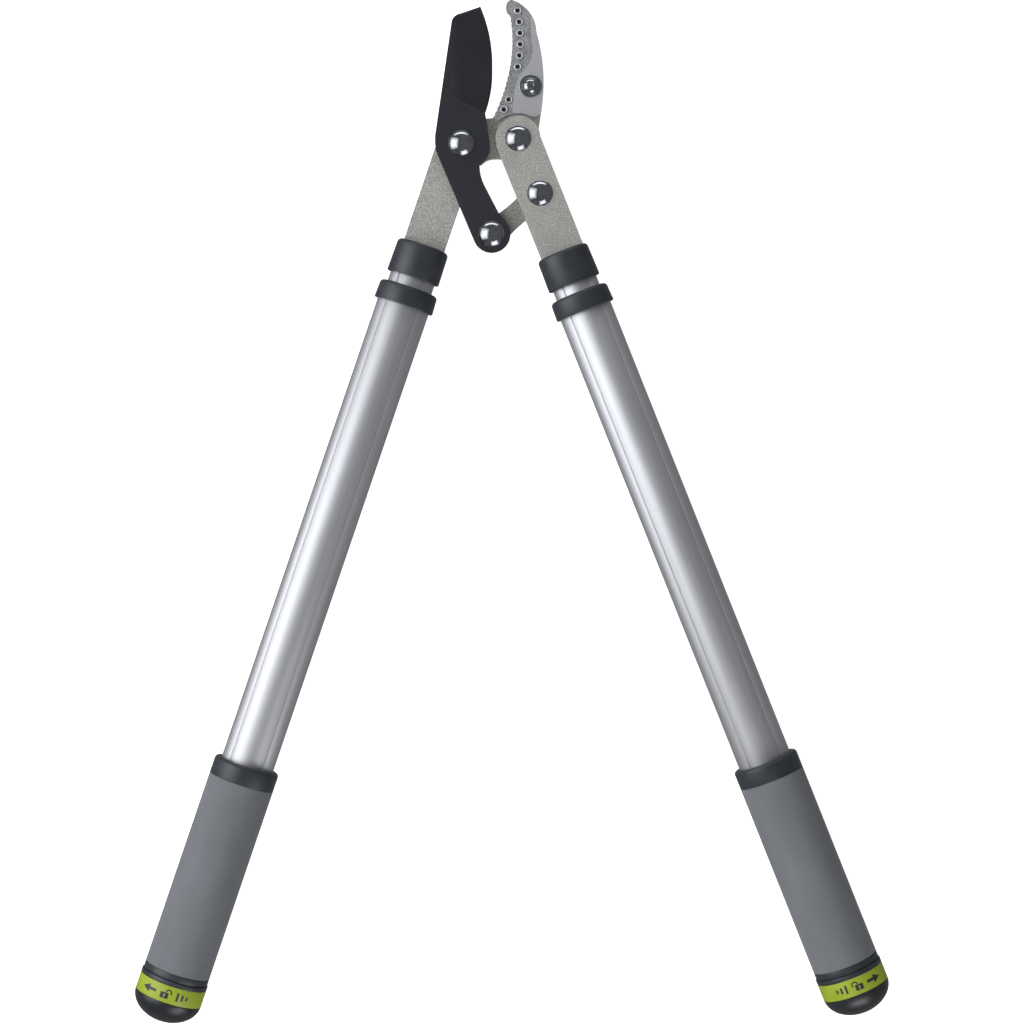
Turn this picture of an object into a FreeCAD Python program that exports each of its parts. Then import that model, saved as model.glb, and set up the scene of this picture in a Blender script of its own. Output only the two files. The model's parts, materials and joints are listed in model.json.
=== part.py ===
"""Bypass loppers with a compound four-bar head and telescopic twist-lock handles.

The tool lies flat. X runs across the jaws, Y runs from the grips to the blade tip and Z stands
up off the bench, so the blade is the uppermost layer of the head. While the pieces are built,
the design origin is the blade pivot, in the plane of the two handle axes; the last step moves
everything so that the origin is the middle of the underside.
"""
import FreeCAD, Part
import math
import os
import re
import Sketcher

Vector = FreeCAD.Vector
Placement = FreeCAD.Placement
Rotation = FreeCAD.Rotation

# ---------------------------------------------------------------- driving dimensions, mm and degrees
SIZES = [
    ("arm_pivot_x", 36.3, "right arm pivot, across from the blade pivot"),
    ("arm_pivot_y", 2.9, "right arm pivot, up from the blade pivot"),
    ("tail_pivot_x", 19.4, "pivot in the blade's tail"),
    ("tail_pivot_y", -58.0, "pivot in the blade's tail"),
    ("link_pivot_x", 50.3, "pivot of the link in the right arm"),
    ("link_pivot_y", -32.1, "pivot of the link in the right arm"),
    ("hook_screw_x", 44.2, "screw that holds the hook"),
    ("hook_screw_y", 36.7, "screw that holds the hook"),
    ("left_angle", -108.78, "direction of the left handle, from +X"),
    ("right_angle", -68.26, "direction of the right handle, from +X"),
    ("left_offset", -1.9, "left handle axis, across from the blade pivot"),
    ("right_offset", -0.6, "right handle axis, across from the arm pivot"),
    ("left_start", 69.5, "blade pivot to the top of the left collar"),
    ("right_start", 77.2, "arm pivot to the top of the right collar"),
    ("spacer_height", 4.0, "gap between the back plate and the blade"),
    ("blade_thickness", 4.0, "blade"),
    ("arm_thickness", 5.0, "pressed steel arms"),
    ("link_thickness", 3.0, "link between the blade's tail and the right arm"),
    ("hook_rise", 3.7, "hook above the back plate"),
    ("hook_recess", 0.8, "step down to the inner half of the hook"),
    ("left_arm_width", 27.0, "left arm strip"),
    ("right_arm_width", 28.4, "right arm strip"),
    ("arm_head_radius", 14.3, "rounded top of the right arm"),
    ("plate_radius", 14.3, "rounded end of the plate round the blade pivot"),
    ("tang_width", 18.0, "tangs that enter the tubes"),
    ("tang_entry", 5.0, "depth of the full-width arm inside its collar"),
    ("tang_length", 58.0, "collar top to the end of the tang"),
    ("grind_depth", 3.2, "grind of the cutting edge, down"),
    ("grind_width", 6.0, "grind of the cutting edge, across"),
    ("dome_radius", 8.5, "domed pivot heads"),
    ("dome_height", 4.0, "domed pivot heads"),
    ("bolt_radius", 4.0, "pivot bolts"),
    ("rivet_radius", 3.5, "link rivets"),
    ("running_fit", 0.05, "radial clearance of a turning fit"),
    ("face_gap", 0.1, "gap between faces that turn on each other"),
    ("loop_clearance", 2.15, "radial room round the open pivot of the linkage"),
    ("spacer_radius", 10.0, "spacers on the pivot bolts"),
    ("washer_height", 1.5, "washers"),
    ("nut_width", 13.0, "lock nuts, across flats"),
    ("nut_height", 5.5, "lock nuts"),
    ("link_eye_radius", 9.4, "eyes of the link"),
    ("link_waist", 7.1, "half width of the link at its waist"),
    ("screw_radius", 3.0, "hook screw"),
    ("screw_head_radius", 5.6, "hook screw head"),
    ("screw_head_height", 3.4, "hook screw head"),
    ("screw_washer_radius", 7.2, "washer under the hook screw"),
    ("outer_half_width", 17.2, "outer tube"),
    ("outer_half_depth", 14.5, "outer tube"),
    ("outer_lobe", 11.5, "radius of the outer tube's side lobes"),
    ("outer_face", 15.75, "radius of the outer tube's front and back"),
    ("inner_half_width", 14.8, "inner tube"),
    ("inner_half_depth", 12.3, "inner tube"),
    ("inner_lobe", 9.9, "radius of the inner tube's side lobes"),
    ("inner_face", 13.1, "radius of the inner tube's front and back"),
    ("outer_wall", 1.5, "wall of the outer tube"),
    ("inner_wall", 1.3, "wall of the inner tube"),
    ("slide_gap", 0.3, "gap between pieces that slide past each other"),
    ("fixed_gap", 0.05, "gap between a tube and what is pressed on it"),
    ("collar_length", 21.8, "collar"),
    ("collar_half_width", 17.3, "collar"),
    ("collar_half_depth", 15.6, "collar"),
    ("collar_round", 3.6, "collar, rounded top edge"),
    ("inner_start", 6.0, "collar top to the inner tube"),
    ("inner_length", 434.0, "inner tube"),
    ("ring_start", 28.4, "collar top to the ring of the outer tube"),
    ("ring_length", 12.2, "ring"),
    ("ring_half_width", 19.5, "ring"),
    ("ring_half_depth", 17.6, "ring"),
    ("ring_round", 3.0, "ring, rounded top edge"),
    ("ring_lip", 2.6, "ring lip over the end of the outer tube"),
    ("guide_length", 15.0, "plastic guide inside the outer tube's mouth"),
    ("grip_start", 350.3, "collar top to the grip's top ring"),
    ("grip_ring_length", 11.9, "grip's top ring"),
    ("grip_radius", 21.2, "grip"),
    ("grip_round", 2.2, "rounded edge of the grip's top ring"),
    ("grip_end", 489.0, "collar top to the end of the grip sleeve"),
    ("end_ring_length", 4.3, "ring below the grip sleeve"),
    ("end_ring_plug", 11.0, "its plug inside the outer tube"),
    ("knob_radius", 21.8, "twist knob"),
    ("knob_rim", 3.0, "rim of the twist knob"),
    ("knob_gap", 0.3, "gap between the grip end and the twist knob"),
    ("band_length", 10.9, "coloured band"),
    ("band_thickness", 1.0, "coloured band"),
    ("cap_depth", 16.0, "domed end of the cap"),
    ("cap_wall", 2.5, "cap"),
    ("spigot_radius", 11.0, "spigot of the knob in the end ring"),
    ("spigot_length", 19.3, "spigot, from the knob's rim"),
    ("hub_plug_length", 7.0, "plug of the knob hub inside the cap"),
    ("clip_offset", 2.5, "groove for the clip, from the spigot's end"),
    ("clip_thickness", 1.3, "spring clip"),
    ("clip_depth", 1.2, "groove in the spigot"),
    ("clip_radius", 12.6, "spring clip, outside"),
    ("rod_width", 6.0, "hexagonal lock rod, across flats"),
    ("rod_start", 112.0, "collar top to the free end of the lock rod"),
    ("rod_gap", 0.1, "gap between the lock rod and the cam"),
    ("tube_plug_depth", 12.0, "end plug inside the inner tube"),
    ("tube_plug_flange", 6.0, "flange of the end plug"),
    ("rod_hole_radius", 4.2, "hole for the rod in the end plug"),
    ("cam_length", 8.0, "lock cam"),
    ("cam_radius", 11.2, "lock cam"),
    ("cam_offset", 1.65, "eccentricity of the lock cam"),
    ("pin_radius", 3.0, "cross pins through the tangs"),
    ("pin_half_length", 11.8, "cross pins through the tangs"),
    ("first_pin", 14.0, "collar top to the first cross pin"),
    ("second_pin", 44.0, "collar top to the second cross pin"),
    ("dimple_radius", 1.7, "dimples in the hook"),
    ("dimple_depth", 0.6, "dimples in the hook"),
    ("thread_end", 0.5, "end of a pivot bolt, short of its nut's face"),
    ("crown_inset", 1.4, "recess in a lock nut, in from its flats"),
    ("crown_depth", 0.6, "recess in a lock nut"),
    ("peen_overhang", 1.5, "peened end of the tail rivet, beyond its shank"),
    ("peen_height", 0.7, "peened end of the tail rivet"),
    ("peen_gap", 0.1, "gap round the peened end"),
    ("screw_washer_height", 1.0, "washers of the hook screw"),
    ("screw_nut_height", 4.0, "nut of the hook screw"),
    ("screw_nut_width", 10.0, "nut of the hook screw, across flats"),
    ("socket_width", 4.0, "hexagonal socket of the hook screw, across flats"),
    ("socket_floor", 1.2, "floor of the socket, up from the washer"),
    ("clip_opening", 6.0, "gap in the spring clip"),
    ("tang_gap", 0.1, "gap round an arm in its collar and plug"),
    ("overcut", 1.0, "how far a cutter passes the face it leaves by"),
]

# Outlines in the plane of the head, from the blade pivot. A pair of points is an arc's middle and end.
BLADE_START = (12.2, 87.6)
BLADE_OUTLINE = [
    (-1.4, 82.3), ((-4.7, 80.3), (-6.3, 76.5)), (-11.6, 39.6), (-16.1, 9.0),
    ((-16.8, 2.0), (-16.1, -5.0)), (8.35, -62.7), ((20.0, -70.0), (28.6, -50.3)), (23.8, -44.6),
    (14.5, -26.7), ((12.3, -20.0), (11.7, -14.0)), ((17.0, -8.0), (18.2, 0.0)), (16.2, 13.5),
    (15.2, 19.2), ((18.5, 31.0), (19.8, 47.3)), ((18.1, 68.5), (12.2, 87.6)),
]
BLADE_EDGE_LOW = 19.2
HOOK_START = (20.3, 17.0)
HOOK_OUTLINE = [
    ((27.1, 33.8), (31.3, 51.0)), ((32.5, 68.0), (31.0, 83.4)), ((28.5, 87.6), (31.9, 92.4)),
    ((42.6, 85.6), (48.2, 71.0)), ((52.6, 44.0), (50.9, 19.6)), ((46.5, 17.2), (43.2, 18.0)),
    ((35.0, 19.5), (24.9, 15.5)), ((21.6, 15.2), (20.3, 17.0)),
]
HOOK_RECESS_START = (14.0, 10.0)
HOOK_RECESS = [
    (34.5, 10.0), ((33.4, 30.0), (38.0, 45.0)), ((44.5, 54.0), (44.8, 66.0)), (44.0, 96.0),
    (14.0, 96.0), (14.0, 10.0),
]
TONGUE_START = (20.5, 17.0)
TONGUE = [
    (29.0, 20.0), (33.5, 27.0), (34.0, 44.0), ((42.0, 51.0), (50.0, 44.0)), (50.9, 25.0),
    (50.9, 19.6), (49.0, 7.4),
]
DIMPLES = [
    (36.1, 85.2), (37.1, 78.0), (37.6, 70.9), (37.7, 63.7), (37.2, 56.5), (36.1, 49.3),
    (30.4, 28.3), (27.3, 21.9),
]

document = FreeCAD.newDocument("bypass_loppers")
sheet = document.addObject("Spreadsheet::Sheet", "Sizes")
for number, (alias, value, note) in enumerate(SIZES, start=1):
    sheet.set(f"A{number}", note)
    sheet.set(f"B{number}", str(value))
    sheet.setAlias(f"B{number}", alias)
document.recompute()
ALIASES = {alias for alias, value, note in SIZES}
nodes = {}


# ---------------------------------------------------------------- helpers
def size(text):
    """Value of a formula written with the sheet's aliases, such as "grip_end + knob_gap"."""
    return float(sheet.evalExpression(formula(text)))


def formula(text):
    """The same formula as a FreeCAD expression on the sheet."""
    return re.sub(r"[a-z_]+", lambda word: ("Sizes." if word[0] in ALIASES else "") + word[0], str(text))


def bind(thing, **properties):
    for name, text in properties.items():
        thing.setExpression(name, formula(text))


def node(name, thing):
    """Record a finished piece under the name that its file takes."""
    thing.Label = name
    nodes[name] = thing
    return thing


def along(side, station):
    """Placement in a handle: local Z away from the head, local Y up, local X across."""
    turn = size(f"{side}_angle") + 90
    pivot = Vector(0, 0, 0) if side == "left" else Vector(size("arm_pivot_x"), size("arm_pivot_y"), 0)
    rotation = Rotation(Vector(0, 0, 1), turn) * Rotation(Vector(1, 0, 0), 90)
    shift = Vector(size(f"{side}_offset"), 0, size(f"{side}_start") + size(station))
    return Placement(pivot + rotation.multVec(shift), rotation)


def at(x, y, z):
    return Placement(Vector(size(x), size(y), size(z)), Rotation())


def new_body(name):
    return document.addObject("PartDesign::Body", name)


def new_sketch(body, name, lift="0"):
    sketch = body.newObject("Sketcher::SketchObject", name)
    plane = next(each for each in body.Origin.OriginFeatures if each.Role == "XY_Plane")
    sketch.AttachmentSupport = (plane, [""])
    sketch.MapMode = "FlatFace"
    sketch.AttachmentOffset = Placement(Vector(0, 0, size(lift)), Rotation())
    return sketch


def name_and_bind(sketch, constraint, name, text):
    index = sketch.addConstraint(constraint)
    sketch.renameConstraint(index, name)
    sketch.setExpression("Constraints." + name, formula(text))


def circle(sketch, radius, x="0", y="0"):
    """Circle whose radius follows the sheet."""
    index = sketch.addGeometry(Part.Circle(Vector(size(x), size(y), 0), Vector(0, 0, 1), size(radius)))
    name_and_bind(sketch, Sketcher.Constraint("Radius", index, size(radius)), f"radius{index}", radius)
    return index


def ellipse(sketch, half_width, half_depth):
    middle = Vector(0, 0, 0)
    sketch.addGeometry(Part.Ellipse(Vector(size(half_width), 0, 0), Vector(0, size(half_depth), 0), middle))


def outline(sketch, start, steps):
    """Closed outline: each step is an end point, or an arc's middle and end points."""
    here = Vector(*start, 0)
    ends = []
    for step in steps:
        if isinstance(step[0], tuple):
            middle, end = (Vector(*point, 0) for point in step)
            index = sketch.addGeometry(Part.Arc(here, middle, end))
            clockwise = (middle - here).cross(end - middle).z < 0
            ends.append((index, 2, 1) if clockwise else (index, 1, 2))
        else:
            end = Vector(*step, 0)
            index = sketch.addGeometry(Part.LineSegment(here, end))
            ends.append((index, 1, 2))
        here = end
    for (index, first, last), (following, its_first, its_last) in zip(ends, ends[1:] + ends[:1]):
        sketch.addConstraint(Sketcher.Constraint("Coincident", index, last, following, its_first))


def polygon(sketch, points):
    outline(sketch, points[0], list(points[1:]) + [points[0]])


def crease(half_width, half_depth, lobe, face):
    """Point where a side lobe meets the front face of a tube."""
    lobe_x = half_width - lobe
    face_y = half_depth - face
    span = math.hypot(lobe_x, face_y)
    reach = (lobe * lobe - face * face + span * span) / (2 * span)
    height = math.sqrt(lobe * lobe - reach * reach)
    return lobe_x + (height * -face_y - reach * lobe_x) / span, (height * lobe_x + reach * face_y) / span


def lobed(sketch, tube, grow="0"):
    """Tube section: two side lobes and a crowned front and back, grown by an even margin."""
    margin = size(grow)
    half_width, half_depth, lobe, face = (
        size(f"{tube}_{part}") + margin for part in ("half_width", "half_depth", "lobe", "face"))
    x, y = crease(half_width, half_depth, lobe, face)
    first = sketch.addGeometry(Part.Arc(Vector(x, -y, 0), Vector(half_width, 0, 0), Vector(x, y, 0)))
    sketch.addGeometry(Part.Arc(Vector(x, y, 0), Vector(0, half_depth, 0), Vector(-x, y, 0)))
    sketch.addGeometry(Part.Arc(Vector(-x, y, 0), Vector(-half_width, 0, 0), Vector(-x, -y, 0)))
    sketch.addGeometry(Part.Arc(Vector(-x, -y, 0), Vector(0, -half_depth, 0), Vector(x, -y, 0)))
    for step in range(4):
        following = first + (step + 1) % 4
        sketch.addConstraint(Sketcher.Constraint("Coincident", first + step, 2, following, 1))
        axis = -1 if step % 2 == 0 else -2
        sketch.addConstraint(Sketcher.Constraint("PointOnObject", first + step, 3, axis))
        radius, text = (lobe, f"{tube}_lobe + {grow}") if step % 2 == 0 else (face, f"{tube}_face + {grow}")
        index = first + step
        name_and_bind(sketch, Sketcher.Constraint("Radius", index, radius), f"radius{index}", text)
    lobe_text = f"{tube}_half_width - {tube}_lobe"
    face_text = f"{tube}_face - {tube}_half_depth"
    centres = [
        ("DistanceX", -1, 1, first, 3, lobe_text), ("DistanceY", first + 1, 3, -1, 1, face_text),
        ("DistanceX", first + 2, 3, -1, 1, lobe_text), ("DistanceY", -1, 1, first + 3, 3, face_text),
    ]
    for kind, one, one_point, other, other_point, text in centres:
        constraint = Sketcher.Constraint(kind, one, one_point, other, other_point, size(text))
        name_and_bind(sketch, constraint, f"centre{max(one, other)}", text)


def pad(body, sketch, length):
    feature = body.newObject("PartDesign::Pad", "Pad")
    feature.Profile = sketch
    bind(feature, Length=length)
    document.recompute()
    return feature


def pocket(body, sketch, length):
    """Pocket that cuts upwards from its sketch; it has to take something away."""
    before = body.Shape.Volume
    feature = body.newObject("PartDesign::Pocket", "Pocket")
    feature.Profile = sketch
    feature.Reversed = True
    bind(feature, Length=length)
    document.recompute()
    if body.Shape.Volume >= before:
        raise ValueError(f"pocket in {body.Name} cuts nothing")
    return feature


def edges_at(shape, height):
    """Names of the edges that lie flat at one height."""
    flat = []
    for index, edge in enumerate(shape.Edges, start=1):
        box = edge.BoundBox
        if abs(box.ZMin - height) < 0.01 and abs(box.ZMax - height) < 0.01:
            flat.append(f"Edge{index}")
    return flat


def round_edges(body, base, names, radius):
    feature = body.newObject("PartDesign::Fillet", "Fillet")
    feature.Base = (base, names)
    bind(feature, Radius=radius)
    document.recompute()
    return feature


def cylinder(radius, height, place=Placement()):
    thing = document.addObject("Part::Cylinder", "Cylinder")
    bind(thing, Radius=radius, Height=height)
    thing.Placement = place
    return thing


def dome(base_radius, height, place):
    """Spherical cap that stands on a flat base."""
    ball = f"({base_radius}^2 + {height}^2) / (2 * {height})"
    thing = document.addObject("Part::Sphere", "Dome")
    bind(thing, Radius=ball, Angle1=f"asin(1 - {height} / ({ball}))")
    thing.Placement = place * Placement(Vector(0, 0, size(f"{height} - {ball}")), Rotation())
    return thing


def hexagon(width, height, place=Placement()):
    thing = document.addObject("Part::Prism", "Hexagon")
    thing.Polygon = 6
    bind(thing, Circumradius=f"({width}) / sqrt(3)", Height=height)
    thing.Placement = place
    return thing


def block(width, depth, height, place):
    thing = document.addObject("Part::Box", "Block")
    bind(thing, Length=width, Width=depth, Height=height)
    thing.Placement = place
    return thing


def fuse(*things):
    union = document.addObject("Part::MultiFuse", "Union")
    union.Shapes = list(things)
    return union


def cut(base, *tools):
    result = document.addObject("Part::Cut", "Cut")
    result.Base = base
    result.Tool = tools[0] if len(tools) == 1 else fuse(*tools)
    return result


# ---------------------------------------------------------------- head: levels of the layers
PLATE_BACK = "-spacer_height / 2 - arm_thickness"
PLATE_FRONT = "-spacer_height / 2"
BLADE_BACK = "spacer_height / 2"
BLADE_FRONT = "spacer_height / 2 + blade_thickness"
ARM_FRONT = "spacer_height / 2 + arm_thickness"
PIVOTS = {
    "blade": ("0", "0"),
    "arm": ("arm_pivot_x", "arm_pivot_y"),
    "tail": ("tail_pivot_x", "tail_pivot_y"),
    "link": ("link_pivot_x", "link_pivot_y"),
    "screw": ("hook_screw_x", "hook_screw_y"),
}


def at_pivot(name, z):
    return at(*PIVOTS[name], z)


def strip_corners(side, near, far, width):
    """Corners of a straight strip along a handle, seen from above."""
    half = size(width) / 2
    corners = ((-half, near), (half, near), (half, far), (-half, far))
    places = [along(side, station).multVec(Vector(across, 0, 0)) for across, station in corners]
    return [(place.x, place.y) for place in places]


def cross_pins(side):
    """Two pins, square to the tool's plane, that hold a tang in its tube."""
    pins = []
    for station in ("first_pin", "second_pin"):
        centre = along(side, station).Base
        foot = Vector(centre.x, centre.y, -size("pin_half_length"))
        pins.append(cylinder("pin_radius", "2 * pin_half_length", Placement(foot, Rotation())))
    return pins


PINS = {side: cross_pins(side) for side in ("left", "right")}


def arm_tang(body, side, level):
    """Narrow tang that carries an arm into its tube."""
    sketch = new_sketch(body, "TangOutline", level)
    polygon(sketch, strip_corners(side, "tang_entry - overcut", "tang_length", "tang_width"))
    return pad(body, sketch, "arm_thickness")


def make_left_arm():
    """Left arm: plate behind the jaws, strip and tang in one pressing."""
    body = new_body("LeftArmBody")
    plate = new_sketch(body, "PlateOutline", PLATE_BACK)
    radius = size("plate_radius")
    lower = [((45.5, -7.5), (36.3, -11.4)), (25.7, -9.1), (20.5, -9.1), ((16.2, -10.3), (12.7, -13.0))]
    hub = [(0, -radius), ((-radius, 0), (0, radius)), (15.3, 16.4), TONGUE_START]
    outline(plate, TONGUE_START, TONGUE + lower + hub)
    pad(body, plate, "arm_thickness")
    strip = new_sketch(body, "StripOutline", PLATE_BACK)
    polygon(strip, strip_corners("left", "-left_start", "tang_entry", "left_arm_width"))
    pad(body, strip, "arm_thickness")
    tip = arm_tang(body, "left", PLATE_BACK)
    body.Tip = tip
    bores = [
        cylinder("bolt_radius", "arm_thickness", at_pivot("blade", PLATE_BACK)),
        cylinder("bolt_radius", "arm_thickness", at_pivot("arm", PLATE_BACK)),
        cylinder("screw_radius", "arm_thickness", at_pivot("screw", PLATE_BACK)),
    ]
    node("left_arm", cut(body, *bores, *PINS["left"]))


def make_right_arm():
    """Right arm: straight strip with a rounded head over its pivot, and the tang."""
    body = new_body("RightArmBody")
    head = new_sketch(body, "HeadOutline", BLADE_BACK)
    circle(head, "arm_head_radius", *PIVOTS["arm"])
    pad(body, head, "arm_thickness")
    strip = new_sketch(body, "StripOutline", BLADE_BACK)
    polygon(strip, strip_corners("right", "-right_start", "tang_entry", "right_arm_width"))
    pad(body, strip, "arm_thickness")
    body.Tip = arm_tang(body, "right", BLADE_BACK)
    bores = [
        cylinder("bolt_radius + running_fit", "arm_thickness", at_pivot("arm", BLADE_BACK)),
        cylinder("rivet_radius", "arm_thickness", at_pivot("link", BLADE_BACK)),
    ]
    node("right_arm", cut(body, *bores, *PINS["right"]))


def make_blade():
    """Curved blade with its cutting edge ground on the upper face, and the tail that the link pulls."""
    body = new_body("BladeBody")
    sketch = new_sketch(body, "BladeOutline", BLADE_BACK)
    outline(sketch, BLADE_START, BLADE_OUTLINE)
    base = pad(body, sketch, "blade_thickness")
    ground = []
    for index, edge in enumerate(base.Shape.Edges, start=1):
        middle = edge.valueAt((edge.FirstParameter + edge.LastParameter) / 2)
        on_edge = edge.BoundBox.YMin > BLADE_EDGE_LOW - 0.1 and middle.x > 14
        if on_edge and abs(edge.BoundBox.ZMin - size(BLADE_FRONT)) < 0.01:
            ground.append(f"Edge{index}")
    grind = body.newObject("PartDesign::Chamfer", "Grind")
    grind.Base = (base, ground)
    grind.ChamferType = "Two distances"
    bind(grind, Size="grind_depth", Size2="grind_width")
    document.recompute()
    bores = [
        cylinder("bolt_radius + running_fit", "blade_thickness", at_pivot("blade", BLADE_BACK)),
        cylinder("rivet_radius", "blade_thickness", at_pivot("tail", BLADE_BACK)),
    ]
    node("blade", cut(body, *bores))


def make_hook():
    """Cast hook that laps the plate, with a recessed inner half and dimples."""
    body = new_body("HookBody")
    sketch = new_sketch(body, "HookOutline", PLATE_BACK)
    outline(sketch, HOOK_START, HOOK_OUTLINE)
    pad(body, sketch, "arm_thickness + hook_rise")
    seat = new_sketch(body, "SeatOutline", PLATE_BACK)
    outline(seat, TONGUE_START, TONGUE + [(19.6, 7.4), (19.6, 16.9), TONGUE_START])
    pocket(body, seat, "arm_thickness")
    recess = new_sketch(body, "RecessOutline", f"{PLATE_FRONT} + hook_rise - hook_recess")
    outline(recess, HOOK_RECESS_START, HOOK_RECESS)
    body.Tip = pocket(body, recess, "hook_recess + overcut")
    floor = size(f"{PLATE_FRONT} + hook_rise - hook_recess - dimple_depth")
    tools = [cylinder("screw_radius", "hook_rise + overcut", at_pivot("screw", PLATE_FRONT))]
    for x, y in DIMPLES:
        tools.append(cylinder("dimple_radius", "dimple_depth + hook_recess + overcut", at(x, y, floor)))
    node("hook", cut(body, *tools))


def make_link():
    """Waisted link from the blade's tail to the right arm, with room round its open pivot."""
    body = new_body("LinkBody")
    tail = Vector(size("tail_pivot_x"), size("tail_pivot_y"), 0)
    head = Vector(size("link_pivot_x"), size("link_pivot_y"), 0)
    length = (head - tail).Length
    eye = size("link_eye_radius")
    waist = size("link_waist")
    sketch = new_sketch(body, "LinkOutline", "-link_thickness / 2")
    shoulder = eye * 0.96
    lean = math.sqrt(eye * eye - shoulder * shoulder)
    steps = [
        ((length / 2, -waist), (length - lean, -shoulder)), ((length + eye, 0), (length - lean, shoulder)),
        ((length / 2, waist), (lean, shoulder)), ((-eye, 0), (lean, -shoulder)),
    ]
    outline(sketch, (lean, -shoulder), steps)
    body.Tip = pad(body, sketch, "link_thickness")
    direction = math.degrees(math.atan2(head.y - tail.y, head.x - tail.x))
    body.Placement = Placement(tail, Rotation(Vector(0, 0, 1), direction))
    bores = [
        cylinder("rivet_radius + running_fit", "link_thickness", at_pivot("tail", "-link_thickness / 2")),
        cylinder(
            "rivet_radius + peen_overhang + peen_gap", "peen_height + peen_gap",
            at_pivot("tail", "-link_thickness / 2")),
        cylinder("rivet_radius + loop_clearance", "link_thickness", at_pivot("link", "-link_thickness / 2")),
    ]
    node("link", cut(body, *bores))


def make_pivot_bolt(name, pivot, front):
    """Through bolt with a domed head, spacer, washer and lock nut."""
    seat = f"{front} + face_gap"
    below = f"{PLATE_BACK} - washer_height"
    end = f"{below} - nut_height + thread_end"
    shank = cylinder("bolt_radius", f"{seat} - ({end})", at_pivot(pivot, end))
    node(f"{name}_bolt", fuse(dome("dome_radius", "dome_height", at_pivot(pivot, seat)), shank))
    spacer = cylinder("spacer_radius", "spacer_height - face_gap", at_pivot(pivot, PLATE_FRONT))
    node(f"{name}_spacer", cut(spacer, shank))
    washer = cylinder("dome_radius", "washer_height", at_pivot(pivot, below))
    node(f"{name}_washer", cut(washer, shank))
    nut = hexagon("nut_width", "nut_height", at_pivot(pivot, f"{below} - nut_height"))
    thread = cylinder(
        "bolt_radius", "nut_height + 2 * overcut", at_pivot(pivot, f"{below} - nut_height - overcut"))
    crown = cylinder(
        "nut_width / 2 - crown_inset", "crown_depth", at_pivot(pivot, f"{below} - nut_height"))
    node(f"{name}_nut", cut(nut, thread, crown))


def make_link_rivets():
    """Domed rivets: one in the blade's tail, one in the right arm."""
    back = "-link_thickness / 2"
    tail_shank = cylinder("rivet_radius", f"{BLADE_FRONT} - ({back})", at_pivot("tail", back))
    tail_peen = cylinder("rivet_radius + peen_overhang", "peen_height", at_pivot("tail", back))
    tail_dome = dome("dome_radius", "dome_height", at_pivot("tail", BLADE_FRONT))
    node("tail_rivet", fuse(tail_dome, tail_shank, tail_peen))
    arm_shank = cylinder("rivet_radius", f"{ARM_FRONT} - ({back})", at_pivot("link", back))
    arm_dome = dome("dome_radius", "dome_height", at_pivot("link", ARM_FRONT))
    node("arm_rivet", fuse(arm_dome, arm_shank))


def make_hook_screw():
    """Button screw with a washer above the hook, and a washer and nut behind the plate."""
    top = f"{PLATE_FRONT} + hook_rise"
    seat = f"{top} + screw_washer_height"
    below = f"{PLATE_BACK} - screw_washer_height"
    end = f"{below} - screw_nut_height"
    shank = cylinder("screw_radius", f"{seat} - ({end})", at_pivot("screw", end))
    head = dome("screw_head_radius", "screw_head_height", at_pivot("screw", seat))
    socket = hexagon("socket_width", "screw_head_height", at_pivot("screw", f"{seat} + socket_floor"))
    node("hook_screw", cut(fuse(head, shank), socket))
    washers = [
        cylinder("screw_washer_radius", "screw_washer_height", at_pivot("screw", top)),
        cylinder("screw_washer_radius", "screw_washer_height", at_pivot("screw", below)),
    ]
    node("hook_screw_washers", cut(fuse(*washers), shank))
    nut = hexagon("screw_nut_width", "screw_nut_height", at_pivot("screw", end))
    node("hook_screw_nut", cut(nut, shank))


# ---------------------------------------------------------------- handles
def section_pad(name, side, station, length, *sections):
    """Extrusion along a handle of one section, or of two that bound a wall."""
    body = new_body(name)
    sketch = new_sketch(body, "Section")
    for tube, grow in sections:
        lobed(sketch, tube, grow)
    body.Tip = pad(body, sketch, length)
    body.Placement = along(side, station)
    return body


def oval_body(name, side, station, length, half_width, half_depth, edge_round):
    """Oval moulding along a handle with its edge nearest the head rounded."""
    body = new_body(name)
    sketch = new_sketch(body, "Oval")
    ellipse(sketch, half_width, half_depth)
    base = pad(body, sketch, length)
    body.Tip = round_edges(body, base, edges_at(base.Shape, 0), edge_round)
    body.Placement = along(side, station)
    return body


def make_head_end(side, level):
    """Collar, tang plug and cross pins that join an arm to its inner tube."""
    arm_slot = block(
        f"{side}_arm_width + 2 * tang_gap", "arm_thickness + 2 * tang_gap", "tang_entry + overcut",
        along(side, "-overcut") * at(f"-{side}_arm_width / 2 - tang_gap", f"{level} - tang_gap", "0"))
    collar = oval_body(
        f"{side}Collar", side, "0", "collar_length", "collar_half_width", "collar_half_depth", "collar_round")
    socket = section_pad(
        f"{side}Socket", side, "tang_entry", "collar_length - tang_entry + overcut", ("inner", "fixed_gap"))
    node(f"{side}_collar", cut(collar, arm_slot, socket))
    plug = section_pad(
        f"{side}Plug", side, "inner_start + 2", "tang_length - inner_start",
        ("inner", "-inner_wall - fixed_gap"))
    tang_slot = block(
        "tang_width + 2 * tang_gap", "arm_thickness + 2 * tang_gap", "tang_length + overcut",
        along(side, "0") * at("-tang_width / 2 - tang_gap", f"{level} - tang_gap", "0"))
    node(f"{side}_tang_plug", cut(plug, tang_slot, *PINS[side]))
    node(f"{side}_tang_pins", fuse(*PINS[side]))
    tube = section_pad(
        f"{side}InnerTube", side, "inner_start", "inner_length", ("inner", "0"), ("inner", "-inner_wall"))
    node(f"{side}_inner_tube", cut(tube, *PINS[side]))


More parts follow.
